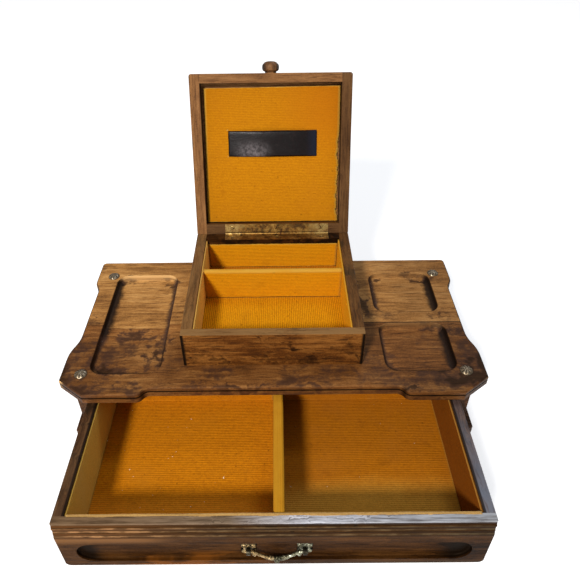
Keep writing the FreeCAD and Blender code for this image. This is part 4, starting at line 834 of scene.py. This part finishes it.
def ball(verts, faces, middle, radii, turn=0.0, bumps=0.0, sides=18):
    # an egg with soft flutes, its axes turned in the plane of the bail
    first = len(verts)
    c, s = math.cos(turn), math.sin(turn)
    for i in range(1, sides):
        a = math.pi * i / sides
        for k in range(sides):
            b = math.tau * k / sides
            grow = 1 + bumps * math.cos(5 * b)
            x = radii[0] * math.cos(a)
            y = radii[1] * math.sin(a) * math.cos(b) * grow
            z = radii[2] * math.sin(a) * math.sin(b) * grow
            verts.append(Vector(middle) + Vector((x * c - z * s, y, x * s + z * c)))
    for i in range(sides - 2):
        for k in range(sides):
            a, b = first + i * sides + k, first + i * sides + (k + 1) % sides
            faces.append((a, b, b + sides, a + sides))
    for i, step in ((0, 1), (sides - 2, -1)):
        loop = [first + i * sides + k for k in range(sides)]
        faces.append(tuple(loop[::-step]))


def castBail(v):
    both = (v["start"] ** 2 + v["drop"] ** 2) / (v["drop"] * 2)
    sweep = both - v["shoulder"]
    slope = math.asin(v["start"] / both)
    half = [(-v["end"], 0.0), (-v["start"] - 2, 0.0), (-v["start"] - 1, 0.0)]
    half += [(-(v["start"] - v["shoulder"] * math.sin(slope * k / 10)),
              v["shoulder"] * (math.cos(slope * k / 10) - 1)) for k in range(10)]
    half += [(-sweep * math.sin(slope * (1 - k / 22)), sweep - v["drop"] - sweep * math.cos(slope * (1 - k / 22)))
             for k in range(22)]
    line = half + [(0.0, -v["drop"])] + [(-x, z) for x, z in reversed(half)]
    verts, faces = [], []
    sizes = []
    for x, z in line:
        near = abs(x)
        swell = 0.18 * smooth(17, 12, near) * smooth(5, 8, near) * (0.6 + 0.4 * math.cos(near * 2.6))
        thin = 0.0 if near > v["start"] - 1.5 else 0.05
        sizes.append(v["wire"] - thin + (swell if near < v["start"] - 2 else 0.0))
    tube(verts, faces, [Vector((x, 0, z)) for x, z in line], sizes, 20)
    arc = sweep - v["drop"]

    def onArch(x):
        return arc - math.sqrt(sweep * sweep - x * x)

    # leaves along the middle, a boss, and a drop on its collar
    for x, radii in ((2.6, (1.9, 1.5, 1.35)), (5.0, (1.7, 1.45, 1.5)), (7.2, (1.25, 1.3, 1.3))):
        for side in (-1, 1):
            turn = math.asin(side * x / sweep)
            ball(verts, faces, (side * x, -0.15, onArch(x) - 0.1), radii, turn - side * 0.35, 0.10)
    for side in (-1, 1):
        ball(verts, faces, (side * 12.2, 0, onArch(12.2)), (0.9, 1.55, 1.55), math.asin(side * 12.2 / sweep), 0.06)
        ball(verts, faces, (side * 4.0, -0.3, onArch(4.0) - 1.3), (1.2, 0.9, 0.7), side * 0.6, 0.0)
        ball(verts, faces, (side * 16.0, -0.1, onArch(12.0) + 1.6), (1.9, 1.5, 1.75), side * 0.6, 0.06)
    ball(verts, faces, (0, -0.3, -v["drop"]), (1.6, 1.7, 1.9), 0, 0.08)
    ball(verts, faces, (0, -0.1, -v["drop"] - 2.0), (1.0, 1.0, 1.1), 0, 0.0)
    ball(verts, faces, (0, -0.1, -v["drop"] - 3.6), (1.7, 1.6, 1.9), 0, 0.10)
    mesh = bpy.data.meshes.new("bail_rough")
    mesh.from_pydata([Vector(p) * mm for p in verts], [], faces)
    rough = bpy.data.objects.new("bail_rough", mesh)
    scene.collection.objects.link(rough)
    fused = rough.modifiers.new("fused", "REMESH")
    fused.mode, fused.voxel_size = "VOXEL", v["voxel"] * mm
    relaxed = rough.modifiers.new("relaxed", "SMOOTH")
    relaxed.iterations, relaxed.factor = 2, 0.4
    bpy.context.view_layer.update()
    cast = bpy.data.meshes.new_from_object(rough.evaluated_get(bpy.context.evaluated_depsgraph_get()))
    lean = math.radians(v["lean"])
    points, patinaAndShade = [], []
    normals = [Vector(n.vector) for n in cast.vertex_normals]
    for vertex, normal in zip(cast.vertices, normals):
        p = vertex.co / mm
        pin = smooth(v["start"] - 2.5, v["start"] - 1.0, abs(p.x))
        ripple = wander(p.x * 0.9, p.y * 0.9, p.z * 0.9, 33) * 0.6 + wander(p.x * 2.1, p.y * 2.1, p.z * 2.1, 34) * 0.4
        # smooth arms, rough casting at the middle and the shoulders
        arm = smooth(8.6, 9.6, abs(p.x)) * smooth(15.2, 14.0, abs(p.x))
        p = p + normal * ((0.18 * (1 - arm) + 0.26 * ripple * (1 - arm) - 0.12 * arm) * (1 - pin))
        points.append((v["middle"] + p.x, v["pivot"] + p.y * math.cos(lean) + p.z * math.sin(lean),
                       v["up"] + p.z * math.cos(lean) - p.y * math.sin(lean)))
        # patina in the casting's hollows, and painted shade on faces that turn back towards the drawer front
        patinaAndShade.append(min(1.0, max(0.0, 0.12 * (1 - arm) - ripple * 1.2 * (1 - arm) + 0.5 * smooth(-0.5, 0.8, normal.y))))
    shape = [tuple(f.vertices) for f in cast.polygons]
    bpy.data.objects.remove(rough)
    makePiece("cast_bail", points, shape, "bail", [castPull], ["pull_bail"], {"patinaAndShade": patinaAndShade})


castRosette("scroll_plate_left", -1, pullValues)
castRosette("scroll_plate_right", 1, pullValues)
castBail(pullValues)
print("pull made")


# slotted screws, flush in the hinge leaves
screwValues = {"places": [-39.7, 4.0, 47.7], "radius": 1.85, "slot": 0.26, "slotDeep": 0.3, "around": 40,
               "turns": [0.5, 1.9, 1.1]}


def slottedScrews(name, node, body, v, top, axis, side, out):
    # top is the middle of a head, out the way it faces; side and axis lie in its face
    verts, faces, patinaAndShade = [], [], []
    for n, x in enumerate(v["places"]):
        first = len(verts)
        c, s = math.cos(v["turns"][n]), math.sin(v["turns"][n])
        steps = [0.14, 0.22, 0.32, 0.5, 0.75, 1.0, 1.25, 1.5, 1.7, v["radius"]]
        middle = top + axis * x
        for r in steps:
            for k in range(v["around"]):
                a = math.tau * k / v["around"]
                p, q = r * math.cos(a), r * math.sin(a)
                off = abs(-s * p + c * q)
                cutSlot = smooth(v["slot"] + 0.10, v["slot"], off)
                crown = 0.10 * (1 - (r / v["radius"]) ** 2) - 0.10 * smooth(1.6, v["radius"], r)
                verts.append(middle + axis * p + side * q + out * (crown - v["slotDeep"] * cutSlot))
                # painted shade: the slot and the rim of each head are dark
                patinaAndShade.append(min(1.0, cutSlot + smooth(1.5, v["radius"], r)))
        w = v["around"]
        for i in range(len(steps) - 1):
            for k in range(w):
                k2 = (k + 1) % w
                o = first + i * w
                faces.append((o + k, o + w + k, o + w + k2, o + k2))
        faces.append(tuple(first + k for k in range(w)))
        foot = len(verts)
        for k in range(w):
            a = math.tau * k / w
            verts.append(middle + axis * (1.1 * math.cos(a)) + side * (1.1 * math.sin(a)) - out * 7.9)
            patinaAndShade.append(0.3)
        o = first + (len(steps) - 1) * w
        for k in range(w):
            k2 = (k + 1) % w
            faces.append((o + k, foot + k, foot + k2, o + k2))
        faces.append(tuple(foot + k for k in reversed(range(w))))
    if axis.cross(side).dot(out) < 0:
        faces = [tuple(reversed(f)) for f in faces]
    makePiece(name, verts, faces, body, [agedBrass], [node], {"patinaAndShade": patinaAndShade})


slottedScrews("hinge_screws_box_slotted", "hinge_screws_box", "case", screwValues,
              Vector((0, 83.5, 108.5)), Vector((1, 0, 0)), Vector((0, 1, 0)), Vector((0, 0, 1)))
slottedScrews("hinge_screws_lid_slotted", "hinge_screws_lid", "lid", screwValues,
              onLid(0, -6, 0.15), lidAxes[0], lidAxes[1], -lidAxes[2])
print("hinge dressed")


# corduroy on card

clothTones = {
    "goldCloth": {"ridge": (0.600, 0.205, 0.004), "valley": (0.270, 0.080, 0.002), "pale": (0.56, 0.30, 0.05),
                  "worn": (0.46, 0.165, 0.008), "frontLight": ((-142, -165), (0.900, 0.330, 0.020))},
    "shadedCloth": {"ridge": (0.430, 0.140, 0.004), "valley": (0.200, 0.058, 0.002), "pale": (0.50, 0.26, 0.05),
                    "worn": (0.34, 0.115, 0.010), "frontLight": ((-128, -158), (0.700, 0.360, 0.050))},
    "lidCloth": {"ridge": (0.545, 0.212, 0.004), "valley": (0.330, 0.110, 0.003), "pale": (0.60, 0.34, 0.05),
                 "worn": (0.44, 0.158, 0.006), "reddened": True},
    "boxCloth": {"ridge": (0.680, 0.275, 0.004), "valley": (0.430, 0.158, 0.003), "pale": (0.56, 0.30, 0.04),
                 "worn": (0.56, 0.245, 0.008)},
    "boxFloorCloth": {"ridge": (0.760, 0.320, 0.004), "valley": (0.330, 0.110, 0.002), "pale": (0.60, 0.36, 0.06),
                      "worn": (0.64, 0.275, 0.008)},
    "boxLeftCloth": {"ridge": (0.820, 0.440, 0.070), "valley": (0.600, 0.290, 0.045), "pale": (0.46, 0.26, 0.07),
                     "worn": (0.70, 0.38, 0.07)},
    "fadedCloth": {"ridge": (0.620, 0.370, 0.060), "valley": (0.440, 0.235, 0.030), "pale": (0.26, 0.15, 0.03),
                   "worn": (0.54, 0.34, 0.08)},
    "orangeCloth": {"ridge": (0.190, 0.048, 0.002), "valley": (0.105, 0.024, 0.001), "pale": (0.36, 0.17, 0.03),
                    "worn": (0.16, 0.045, 0.004)},
    "coverCloth": {"ridge": (0.480, 0.190, 0.008), "valley": (0.300, 0.105, 0.004), "pale": (0.46, 0.215, 0.014),
                   "worn": (0.42, 0.19, 0.012)},
    "foldCloth": {"ridge": (0.520, 0.320, 0.110), "valley": (0.330, 0.165, 0.040), "pale": (0.54, 0.35, 0.13),
                  "worn": (0.52, 0.33, 0.12)},
}


def ribbedCloth(name, v):
    look = Look(name)
    x, y, z = look.split(look.place)
    ribShading, fray = look.layer("ribShading"), look.layer("fray")
    slubs = look.grain(look.place, 620, 3.0, 0.7)
    ribShading = look.calc("ADD", ribShading, look.calc("MULTIPLY", look.calc("SUBTRACT", slubs, 0.5), 1.5), clamp=True)
    # painted shade: the rib valleys take the valley colour and the crests the ridge colour
    color = look.blend(ribShading, v["valley"], v["ridge"])
    clouds = look.grain(look.place, 22, 4.0, 0.6)
    color = look.blend(look.span(clouds, 0.45, 0.75, to=(0.0, 0.55)), color, v["worn"])
    dirt = look.grain(look.place, 55, 5.0, 0.7)
    color = look.blend(look.span(dirt, 0.56, 0.75, to=(0.0, 0.5)), color, v["valley"])
    crumbs = look.grain(look.place, 330, 2.0, 0.5)
    color = look.blend(look.span(crumbs, 0.70, 0.76, to=(0.0, 0.6)), color, tuple(c * 0.35 for c in v["valley"]))
    bright = look.grain(look.place, 410, 3.0, 0.6)
    color = look.blend(look.span(bright, 0.60, 0.78, to=(0.0, 0.5)), color, tuple(min(1, c * 1.25) for c in v["ridge"]))
    if v.get("frontLight"):
        # painted light: paler and greyer towards the front of the drawer, lifting the front wall's shadow
        reach, tint = v["frontLight"]
        share = look.calc("ADD", y, look.calc("MULTIPLY", look.calc("SUBTRACT", clouds, 0.5), 0.03))
        color = look.blend(look.span(share, reach[0] * mm, reach[1] * mm, to=(0.0, 0.8)), color,
                           look.blend(ribShading, tuple(c * 0.62 for c in tint), tint))
    if v.get("reddened"):
        # the lid's cloth has gone redder towards its top right corner
        red = look.calc("MULTIPLY", look.span(x, -10 * mm, 62 * mm), look.span(z, 150 * mm, 225 * mm))
        color = look.blend(look.calc("MULTIPLY", red, 0.75), color, (0.450, 0.125, 0.003))
        color = look.blend(look.span(z, 170 * mm, 235 * mm, to=(0.0, 0.3)), color, v["valley"])
    fuzz = look.grain(look.place, 1900, 3.0, 0.7)
    color = look.blend(look.span(fuzz, 0.35, 0.65, to=(0.35, 0.0)), color, v["valley"])
    color = look.blend(fray, color, v["pale"])
    look.relief(look.calc("ADD", fuzz, look.calc("MULTIPLY", slubs, 1.5)), 0.16, 0.8)
    return look.finish(color, 0.95, Specular_IOR_Level=0.04, Sheen_Weight=0.06, Sheen_Roughness=0.5,
                       Sheen_Tint=(0.9, 0.5, 0.1))


clothLooks = {name: ribbedCloth(name, v) for name, v in clothTones.items()}
threadLook = ribbedCloth("loose_threads", dict(clothTones["goldCloth"], ridge=(0.62, 0.44, 0.14), valley=(0.5, 0.3, 0.08)))

ribValues = {"pitch": 1.72, "height": 0.55, "proud": 0.08, "perRib": 6, "step": 2.6, "frayWidth": 0.9, "frayDepth": 0.35}


def clothPanel(name, corner, along, across, out, size, body, look, replaced, v, seed=0, warp=None):
    # ribs run along; size is length, width, thickness in mm; warp moves a point of the cut edge inwards
    length, width, thick = size
    cols = max(3, round(length / v["step"]))
    rows = max(8, round(width / v["pitch"] * v["perRib"]))
    verts, faces, ribShading, fray = [], [], [], []
    for j in range(cols + 1):
        for i in range(rows + 1):
            s, t = length * j / cols, width * i / rows
            lean = 0.16 * wander(s * 0.045, t * 0.03, 0, seed)
            phase = (t + lean) / v["pitch"]
            rib = abs(math.sin(math.pi * phase)) ** 0.65
            fluff = 0.5 + 0.5 * wander(s * 0.7, t * 0.9, 1.7, seed)
            border = min(s, length - s, t, width - t)
            hem = smooth(0.0, 0.7, border)
            lift = thick + (v["proud"] - v["height"] * (1 - rib) * (0.8 + 0.25 * fluff)) * hem
            lift -= (1 - hem) * 0.25
            if border <= 0.0001:
                # cut edge, a little ragged
                cut = v["frayDepth"] * (0.5 + 0.5 * wander(s * 1.9, t * 1.9, 3.1, seed))
                s += cut * ((j == 0) - (j == cols))
                t += cut * ((i == 0) - (i == rows))
            if warp:
                s, t, lift = warp(s, t, lift, length, width)
            verts.append(corner + along * s + across * t + out * lift)
            # painted shade: 1 on a rib's crest, 0 in its valley
            ribShading.append(min(1.0, max(0.0, rib * (0.75 + 0.4 * fluff))))
            widthHere = v["frayWidth"] * (0.5 + 0.8 * abs(wander(s * 0.4, t * 0.4, 7.7, seed)))
            fray.append(0.85 * smooth(widthHere, widthHere * 0.3, border))
    w = rows + 1
    for j in range(cols):
        for i in range(rows):
            a = j * w + i
            faces.append((a, a + w, a + w + 1, a + 1))
    rim = ([i for i in range(rows)] + [j * w + rows for j in range(cols)]
           + [cols * w + i for i in range(rows, 0, -1)] + [j * w for j in range(cols, 0, -1)])
    back = len(verts)
    for i in rim:
        point = verts[i]
        verts.append(point - out * (point - corner).dot(out))
        ribShading.append(0.2)
        fray.append(0.3)
    count = len(rim)
    for k in range(count):
        k2 = (k + 1) % count
        faces.append((rim[k], rim[k2], back + k2, back + k))
    faces.append(tuple(back + k for k in range(count)))
    # the grid winds so that its faces look along out
    if along.cross(across).dot(out) < 0:
        faces = [tuple(reversed(f)) for f in faces]
    return makePiece(name, verts, faces, body, [look], replaced, {"ribShading": ribShading, "fray": fray})


axes = {"x": Vector((1, 0, 0)), "y": Vector((0, 1, 0)), "z": Vector((0, 0, 1))}
# node, side that shows, way the ribs run, cloth
liningTable = [
    ("drawer_floor_lining_left", "+z", "x", "goldCloth"), ("drawer_floor_lining_right", "+z", "x", "shadedCloth"),
    ("drawer_side_lining_left", "+x", "y", "fadedCloth"), ("drawer_side_lining_right", "-x", "y", "orangeCloth"),
    ("drawer_front_lining_left", "+y", "x", "goldCloth"), ("drawer_front_lining_right", "+y", "x", "shadedCloth"),
    ("drawer_back_lining_left", "-y", "x", "goldCloth"), ("drawer_back_lining_right", "-y", "x", "shadedCloth"),
    ("box_floor_lining_front", "+z", "y", "boxFloorCloth"), ("box_floor_lining_back", "+z", "y", "goldCloth"),
    ("box_lining_left", "+x", "y", "boxLeftCloth"), ("box_lining_right", "-x", "y", "boxCloth"),
    ("box_lining_front", "+y", "x", "boxCloth"), ("box_lining_back", "-y", "x", "boxCloth"),
]


def lineBoxes():
    for seed, (node, side, ribs, cloth) in enumerate(liningTable):
        low, high = (Vector(p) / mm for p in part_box(node))
        sign, face = (1 if side[0] == "+" else -1), side[1]
        other = [n for n in "xyz" if n not in (face, ribs)][0]
        corner = Vector(low)
        index = "xyz".index(face)
        corner[index] = low[index] if sign > 0 else high[index]
        extent = high - low
        size = (extent["xyz".index(ribs)], extent["xyz".index(other)], extent[index])
        body = "drawer" if node.startswith("drawer") else "case"
        clothPanel(node + "_cloth", corner, axes[ribs], axes[other], axes[face] * sign, size, body,
                   clothLooks[cloth], [node], ribValues, seed + 1)


lineBoxes()

# the front lining's cloth turned over the back of the drawer front
foldValues = {"back": -188.9, "front": -193.0, "under": 61.6, "thick": 1.9, "ends": (-142.2, 142.2)}


def turnedEdge(v):
    reach = v["back"] - v["front"]

    def wavy(s, t, lift, length, width):
        toFront = smooth(width * 0.5, 0.0, t)
        t += toFront * (1.5 + 0.75 * wander(s * 0.045, 0, 0, 61) + 0.2 * wander(s * 0.4, 0, 0, 62))
        lift += 0.18 * wander(s * 0.06, t * 0.3, 0, 63) + 0.25 * smooth(0.4, 1.0, wander(s * 0.02, 3.0, 0, 64))
        return s, t, lift

    start, end = v["ends"]
    clothPanel("front_lining_edge", Vector((start, v["front"], v["under"])), axes["x"], axes["y"], axes["z"],
               (end - start, reach, v["thick"]), "drawer", clothLooks["foldCloth"], (),
               dict(ribValues, height=0.3, pitch=1.1, step=1.2), 50, wavy)


turnedEdge(foldValues)


def foldedCover(name, node, run, body, look, v, corner=2.0, seed=0):
    # cloth folded over a partition: up one side, over the top and down the other, ribs along it
    low, high = (Vector(p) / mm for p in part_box(node))
    across = "y" if run == "x" else "x"
    k = "xyz".index(across)
    wide, tall = high[k] - low[k], high[2] - low[2]
    straight = tall - corner
    arc = corner * math.pi / 2
    total = straight * 2 + arc * 2 + (wide - corner * 2)
    count = round(total / v["pitch"]) * v["perRib"]
    start, end = low["xyz".index(run)], high["xyz".index(run)]
    cols = max(6, round((end - start) / v["step"]))
    verts, faces, ribShading, fray = [], [], [], []

    def fold(t):
        # place across and up, and the way out, at a length t along the fold
        if t < straight:
            return (0, t), (-1, 0)
        t -= straight
        if t < arc:
            a = t / corner
            return (corner - corner * math.cos(a), straight + corner * math.sin(a)), (-math.cos(a), math.sin(a))
        t -= arc
        if t < wide - corner * 2:
            return (corner + t, tall), (0, 1)
        t -= wide - corner * 2
        if t < arc:
            a = t / corner
            return (wide - corner + corner * math.sin(a), straight + corner * math.cos(a)), (math.sin(a), math.cos(a))
        t -= arc
        return (wide, straight - t), (1, 0)

    for j in range(cols + 1):
        s = start + (end - start) * j / cols
        for i in range(count + 1):
            t = total * i / count
            (p, q), (np, nq) = fold(min(t, total - 0.0001))
            lean = 0.16 * wander(s * 0.045, t * 0.03, 0, seed)
            rib = abs(math.sin(math.pi * (t + lean) / v["pitch"])) ** 0.65
            fluff = 0.5 + 0.5 * wander(s * 0.7, t * 0.9, 1.7, seed)
            onTop = smooth(straight - 1.5, straight + 1.0, t) * smooth(total - straight + 1.5, total - straight - 1.0, t)
            flat = 1 - 0.5 * onTop
            lift = v["proud"] - v["height"] * 0.8 * (1 - rib) * (0.8 + 0.25 * fluff) * flat
            lift += 0.12 * wander(s * 0.06, t * 0.05, 4.0, seed)
            lift = min(lift, v["proud"])
            point = Vector((0, 0, low[2] + q + nq * lift))
            point["xyz".index(run)] = s
            point[k] = low[k] + p + np * lift
            verts.append(point)
            ribShading.append(min(1.0, rib * (0.75 + 0.4 * fluff)))
            rubbed = onTop * (0.8 + 0.2 * wander(s * 0.10, t * 0.3, 2.2, seed))
            edge = min(s - start, end - s)
            fray.append(max(0.0, min(1.0, rubbed + 0.6 * smooth(1.2, 0.2, edge))))
    w = count + 1
    for j in range(cols):
        for i in range(count):
            a = j * w + i
            faces.append((a, a + w, a + w + 1, a + 1))
        faces.append((j * w, j * w + count, (j + 1) * w + count, (j + 1) * w))
    faces.append(tuple(range(w)))
    faces.append(tuple(cols * w + i for i in reversed(range(w))))
    if run == "x":
        faces = [tuple(reversed(f)) for f in faces]
    makePiece(name, verts, faces, body, [look], [node], {"ribShading": ribShading, "fray": fray})


foldedCover("drawer_divider_cloth", "drawer_divider_cover", "y", "drawer", clothLooks["coverCloth"], ribValues, seed=31)
foldedCover("box_divider_cloth", "box_divider_cover", "x", "case", clothLooks["boxCloth"], ribValues, seed=32)
print("linings made")


# lid lining and strap

lidLiningValues = {"corners": [(-62.8, -136.2), (65, -137.3), (65, -10), (-65, -10)], "face": 9.65, "thick": 2.5,
                   "gapWidth": 2.3}


def lineLid(v):
    (x0, y0), (x1, y1), (x2, y2), (x3, y3) = v["corners"]

    def cutToShape(s, t, lift, length, width):
        a, b = s / length, t / width
        x = (x0 * (1 - a) + x1 * a) * (1 - b) + (x3 * (1 - a) + x2 * a) * b
        y = (y0 * (1 - a) + y1 * a) * (1 - b) + (y3 * (1 - a) + y2 * a) * b
        # the right edge has shrunk away from the frame along its lower part
        pull = smooth(0.28, 0.5, b) * smooth(0.0, 0.05, 1 - b)
        ragged = 0.55 + 0.5 * wander(b * 14, 0, 0, 3) + 0.35 * wander(b * 60, 0, 0, 4)
        x -= max(0.0, v["gapWidth"] * pull * ragged) * smooth(0.93, 1.0, a)
        return x - x0, y - y0, lift

    corner = onLid(x0, y0, v["face"] + v["thick"])
    size = (x1 - x0, y3 - y0, v["thick"])
    clothPanel("lid_lining_cloth", corner, lidAxes[0], lidAxes[1], -lidAxes[2], size, "lid", clothLooks["lidCloth"],
               ["lid_lining"], dict(ribValues, height=0.22, pitch=1.5), 40, cutToShape)


lineLid(lidLiningValues)

strapValues = {"x": (-41.3, 43.3), "y": (-98.0, -74.0), "face": 9.65, "thick": 0.8, "bow": 3.0}


def leatherLook():
    look = Look("strap_leather_dark")
    pebble = look.cells(look.place, 900)
    creases = look.grain(look.place, 260, 4.0, 0.6)
    scuffs = look.span(look.grain(look.place, 120, 5.0, 0.7), 0.55, 0.72)
    color = look.tones(creases, [(0.3, (0.003, 0.002, 0.002)), (0.7, (0.010, 0.006, 0.006))])
    x, y, z = look.split(look.place)
    # painted highlight: a speckled glossy patch at the lower left of the strap
    highlight = look.calc("MULTIPLY", look.span(x, 4 * mm, -16 * mm), look.span(x, -40 * mm, -20 * mm))
    highlight = look.calc("MULTIPLY", highlight, look.span(z, 194 * mm, 178 * mm))
    speckle = look.span(look.grain(look.place, 300, 5.0, 0.8), 0.35, 0.70, to=(0.15, 1.0))
    highlight = look.calc("MULTIPLY", highlight, speckle)
    color = look.blend(look.calc("MULTIPLY", scuffs, 0.3), color, (0.04, 0.027, 0.025))
    color = look.blend(look.calc("MULTIPLY", highlight, 0.85), color, (0.185, 0.160, 0.165))
    # painted reflection: bluish towards the right end
    color = look.blend(look.span(x, 32 * mm, 42 * mm, to=(0.0, 0.6)), color, (0.010, 0.014, 0.030))
    rough = look.span(creases, 0.3, 0.7, to=(0.40, 0.28))
    look.relief(look.calc("ADD", pebble, creases), 0.10, 0.7)
    return look.finish(color, rough, Specular_IOR_Level=0.17)


def bowedStrap(v):
    verts, faces = [], []
    (xa, xb), (ya, yb) = v["x"], v["y"]
    cols, rows = 64, 14
    for layer in (0, 1):
        for j in range(cols + 1):
            u = j / cols
            for i in range(rows + 1):
                w = i / rows
                bow = v["bow"] * (4 * u * (1 - u)) ** 0.9
                bow += 0.25 * wander(u * 3.1, w * 1.2, 0, 8) * math.sin(math.pi * u)
                lip = 0.35 * (abs(w - 0.5) * 2) ** 6
                rise = bow - lip * math.sin(math.pi * u) + v["thick"] * (1 - layer)
                rise = max(0.02, rise - 0.2 * (abs(w - 0.5) * 2) ** 12 * (1 - layer))
                x = xa + (xb - xa) * u + 0.25 * wander(w * 2.5, u * 3, 0, 12) * (u < 0.01 or u > 0.99)
                y = ya + (yb - ya) * w + 0.30 * wander(u * 3.0, 5.0 * (w > 0.5), 0, 9) * (w < 0.01 or w > 0.99)
                verts.append(onLid(x, y, v["face"] - rise))
    w = rows + 1
    back = (cols + 1) * w
    for j in range(cols):
        for i in range(rows):
            a = j * w + i
            faces.append((a, a + 1, a + w + 1, a + w))
            faces.append((back + a, back + a + w, back + a + w + 1, back + a + 1))
        for i in (0, rows):
            a = j * w + i
            quad = (a, a + w, back + a + w, back + a)
            faces.append(quad if i == 0 else tuple(reversed(quad)))
    for j in (0, cols):
        for i in range(rows):
            a = j * w + i
            quad = (a, back + a, back + a + 1, a + 1)
            faces.append(quad if j == 0 else tuple(reversed(quad)))
    makePiece("lid_strap_leather", verts, faces, "lid", [leatherLook()], ["lid_strap"])


bowedStrap(strapValues)
print("lid lined")


# lint on the drawer floor and loose threads at the cut edges
lintValues = {"floor": 21.7, "spots": [(-39.7, -132.3, 1.0), (-72.1, -73.4, 0.5), (-142.0, -96.3, 0.5), (-117.8, -125.4, 0.6),
              (-84.6, -112.2, 0.6), (-87.7, -114.1, 0.5), (-81.8, -108.2, 0.4), (-64.6, -159.1, 0.6), (-53.4, -155.0, 0.5),
              (53.6, -95.3, 0.35), (118.8, -101.2, 0.35), (41.9, -141.8, 0.45), (13.4, -141.5, 0.5), (68.9, -132.9, 0.35),
              (-113.5, -131.1, 0.5), (-95.5, -148.5, 0.45)], "scattered": 46}


def lintLook():
    look = Look("lint")
    color = look.blend(look.grain(look.place, 2500, 2.0), (0.85, 0.66, 0.34), (0.95, 0.90, 0.74))
    return look.finish(color, 0.95, Specular_IOR_Level=0.1)


def scatterLint(v):
    rand = random.Random(7)
    verts, faces = [], []
    spots = list(v["spots"])
    for _ in range(v["scattered"]):
        x = rand.choice([rand.uniform(-139, -4), rand.uniform(-139, -4), rand.uniform(12, 139)])
        spots.append((x, rand.uniform(-186, -56), rand.uniform(0.14, 0.32)))
    for x, y, size in spots:
        # a curl of fibre, thick in its middle
        a = rand.uniform(0, math.tau)
        bend = rand.uniform(-1.6, 1.6)
        point, path, sizes = Vector((x, y, v["floor"])), [], []
        for k in range(7):
            path.append(point.copy())
            sizes.append(0.10 * size + 0.32 * size * math.sin(math.pi * k / 6))
            point += Vector((math.cos(a), math.sin(a), rand.uniform(-0.05, 0.12))) * size * 0.42
            a += bend * rand.uniform(0.2, 0.8)
        tube(verts, faces, path, sizes, 5)
    makePiece("drawer_lint", verts, faces, "drawer", [lintLook()])


scatterLint(lintValues)


def threads(name, body, starts, length, radius, seed):
    # each start is a place, the way it leaves, and the way it curls
    rand = random.Random(seed)
    verts, faces = [], []
    for place, away, curl in starts:
        point, path = Vector(place), []
        ahead = Vector(away).normalized()
        total = length * rand.uniform(0.5, 1.2)
        twist = rand.uniform(-0.5, 0.5)
        for k in range(6):
            path.append(point.copy())
            point = point + ahead * total / 5
            ahead = (ahead + Vector(curl) * twist * rand.uniform(0.4, 1.4)).normalized()
        tube(verts, faces, path, [radius * (1 - 0.12 * k) for k in range(6)], 5)
    makePiece(name, verts, faces, body, [threadLook], (),
              {"ribShading": [0.8] * len(verts), "fray": [0.5] * len(verts)})


def looseThreads():
    rand = random.Random(11)
    edge = []
    for _ in range(64):
        y = rand.uniform(-96, -12)
        edge.append((onLid(rand.uniform(62.6, 63.6), y, 9.9), lidAxes[0] + lidAxes[1] * rand.uniform(-0.9, 0.9),
                     lidAxes[1]))
    for x, y in ((-41.6, -98.2), (-41.8, -74.0), (-41.2, -98.6), (-42.0, -73.6)):
        for _ in range(3):
            edge.append((onLid(x, y, 9.5), -lidAxes[0] + lidAxes[1] * rand.uniform(-1, 1), lidAxes[1]))
    threads("lid_loose_threads", "lid", edge, 1.5, 0.14, 3)
    pocket = []
    for _ in range(30):
        pocket.append(((rand.uniform(-63, 63), 78.4, 103.0), (rand.uniform(-0.6, 0.6), -0.3, 0.8), (0, 0, 1)))
    for _ in range(16):
        pocket.append(((-63.8, rand.uniform(-48, 76), 107.3), (0.4, rand.uniform(-0.6, 0.6), 0.5), (0, 0, 1)))
    for _ in range(18):
        pocket.append(((rand.uniform(-60, 60), 78.3, 76.6), (rand.uniform(-0.8, 0.8), -0.6, 0.1), (1, 0, 0)))
    threads("box_loose_threads", "case", pocket, 1.3, 0.12, 4)


looseThreads()
print("lint and threads laid")
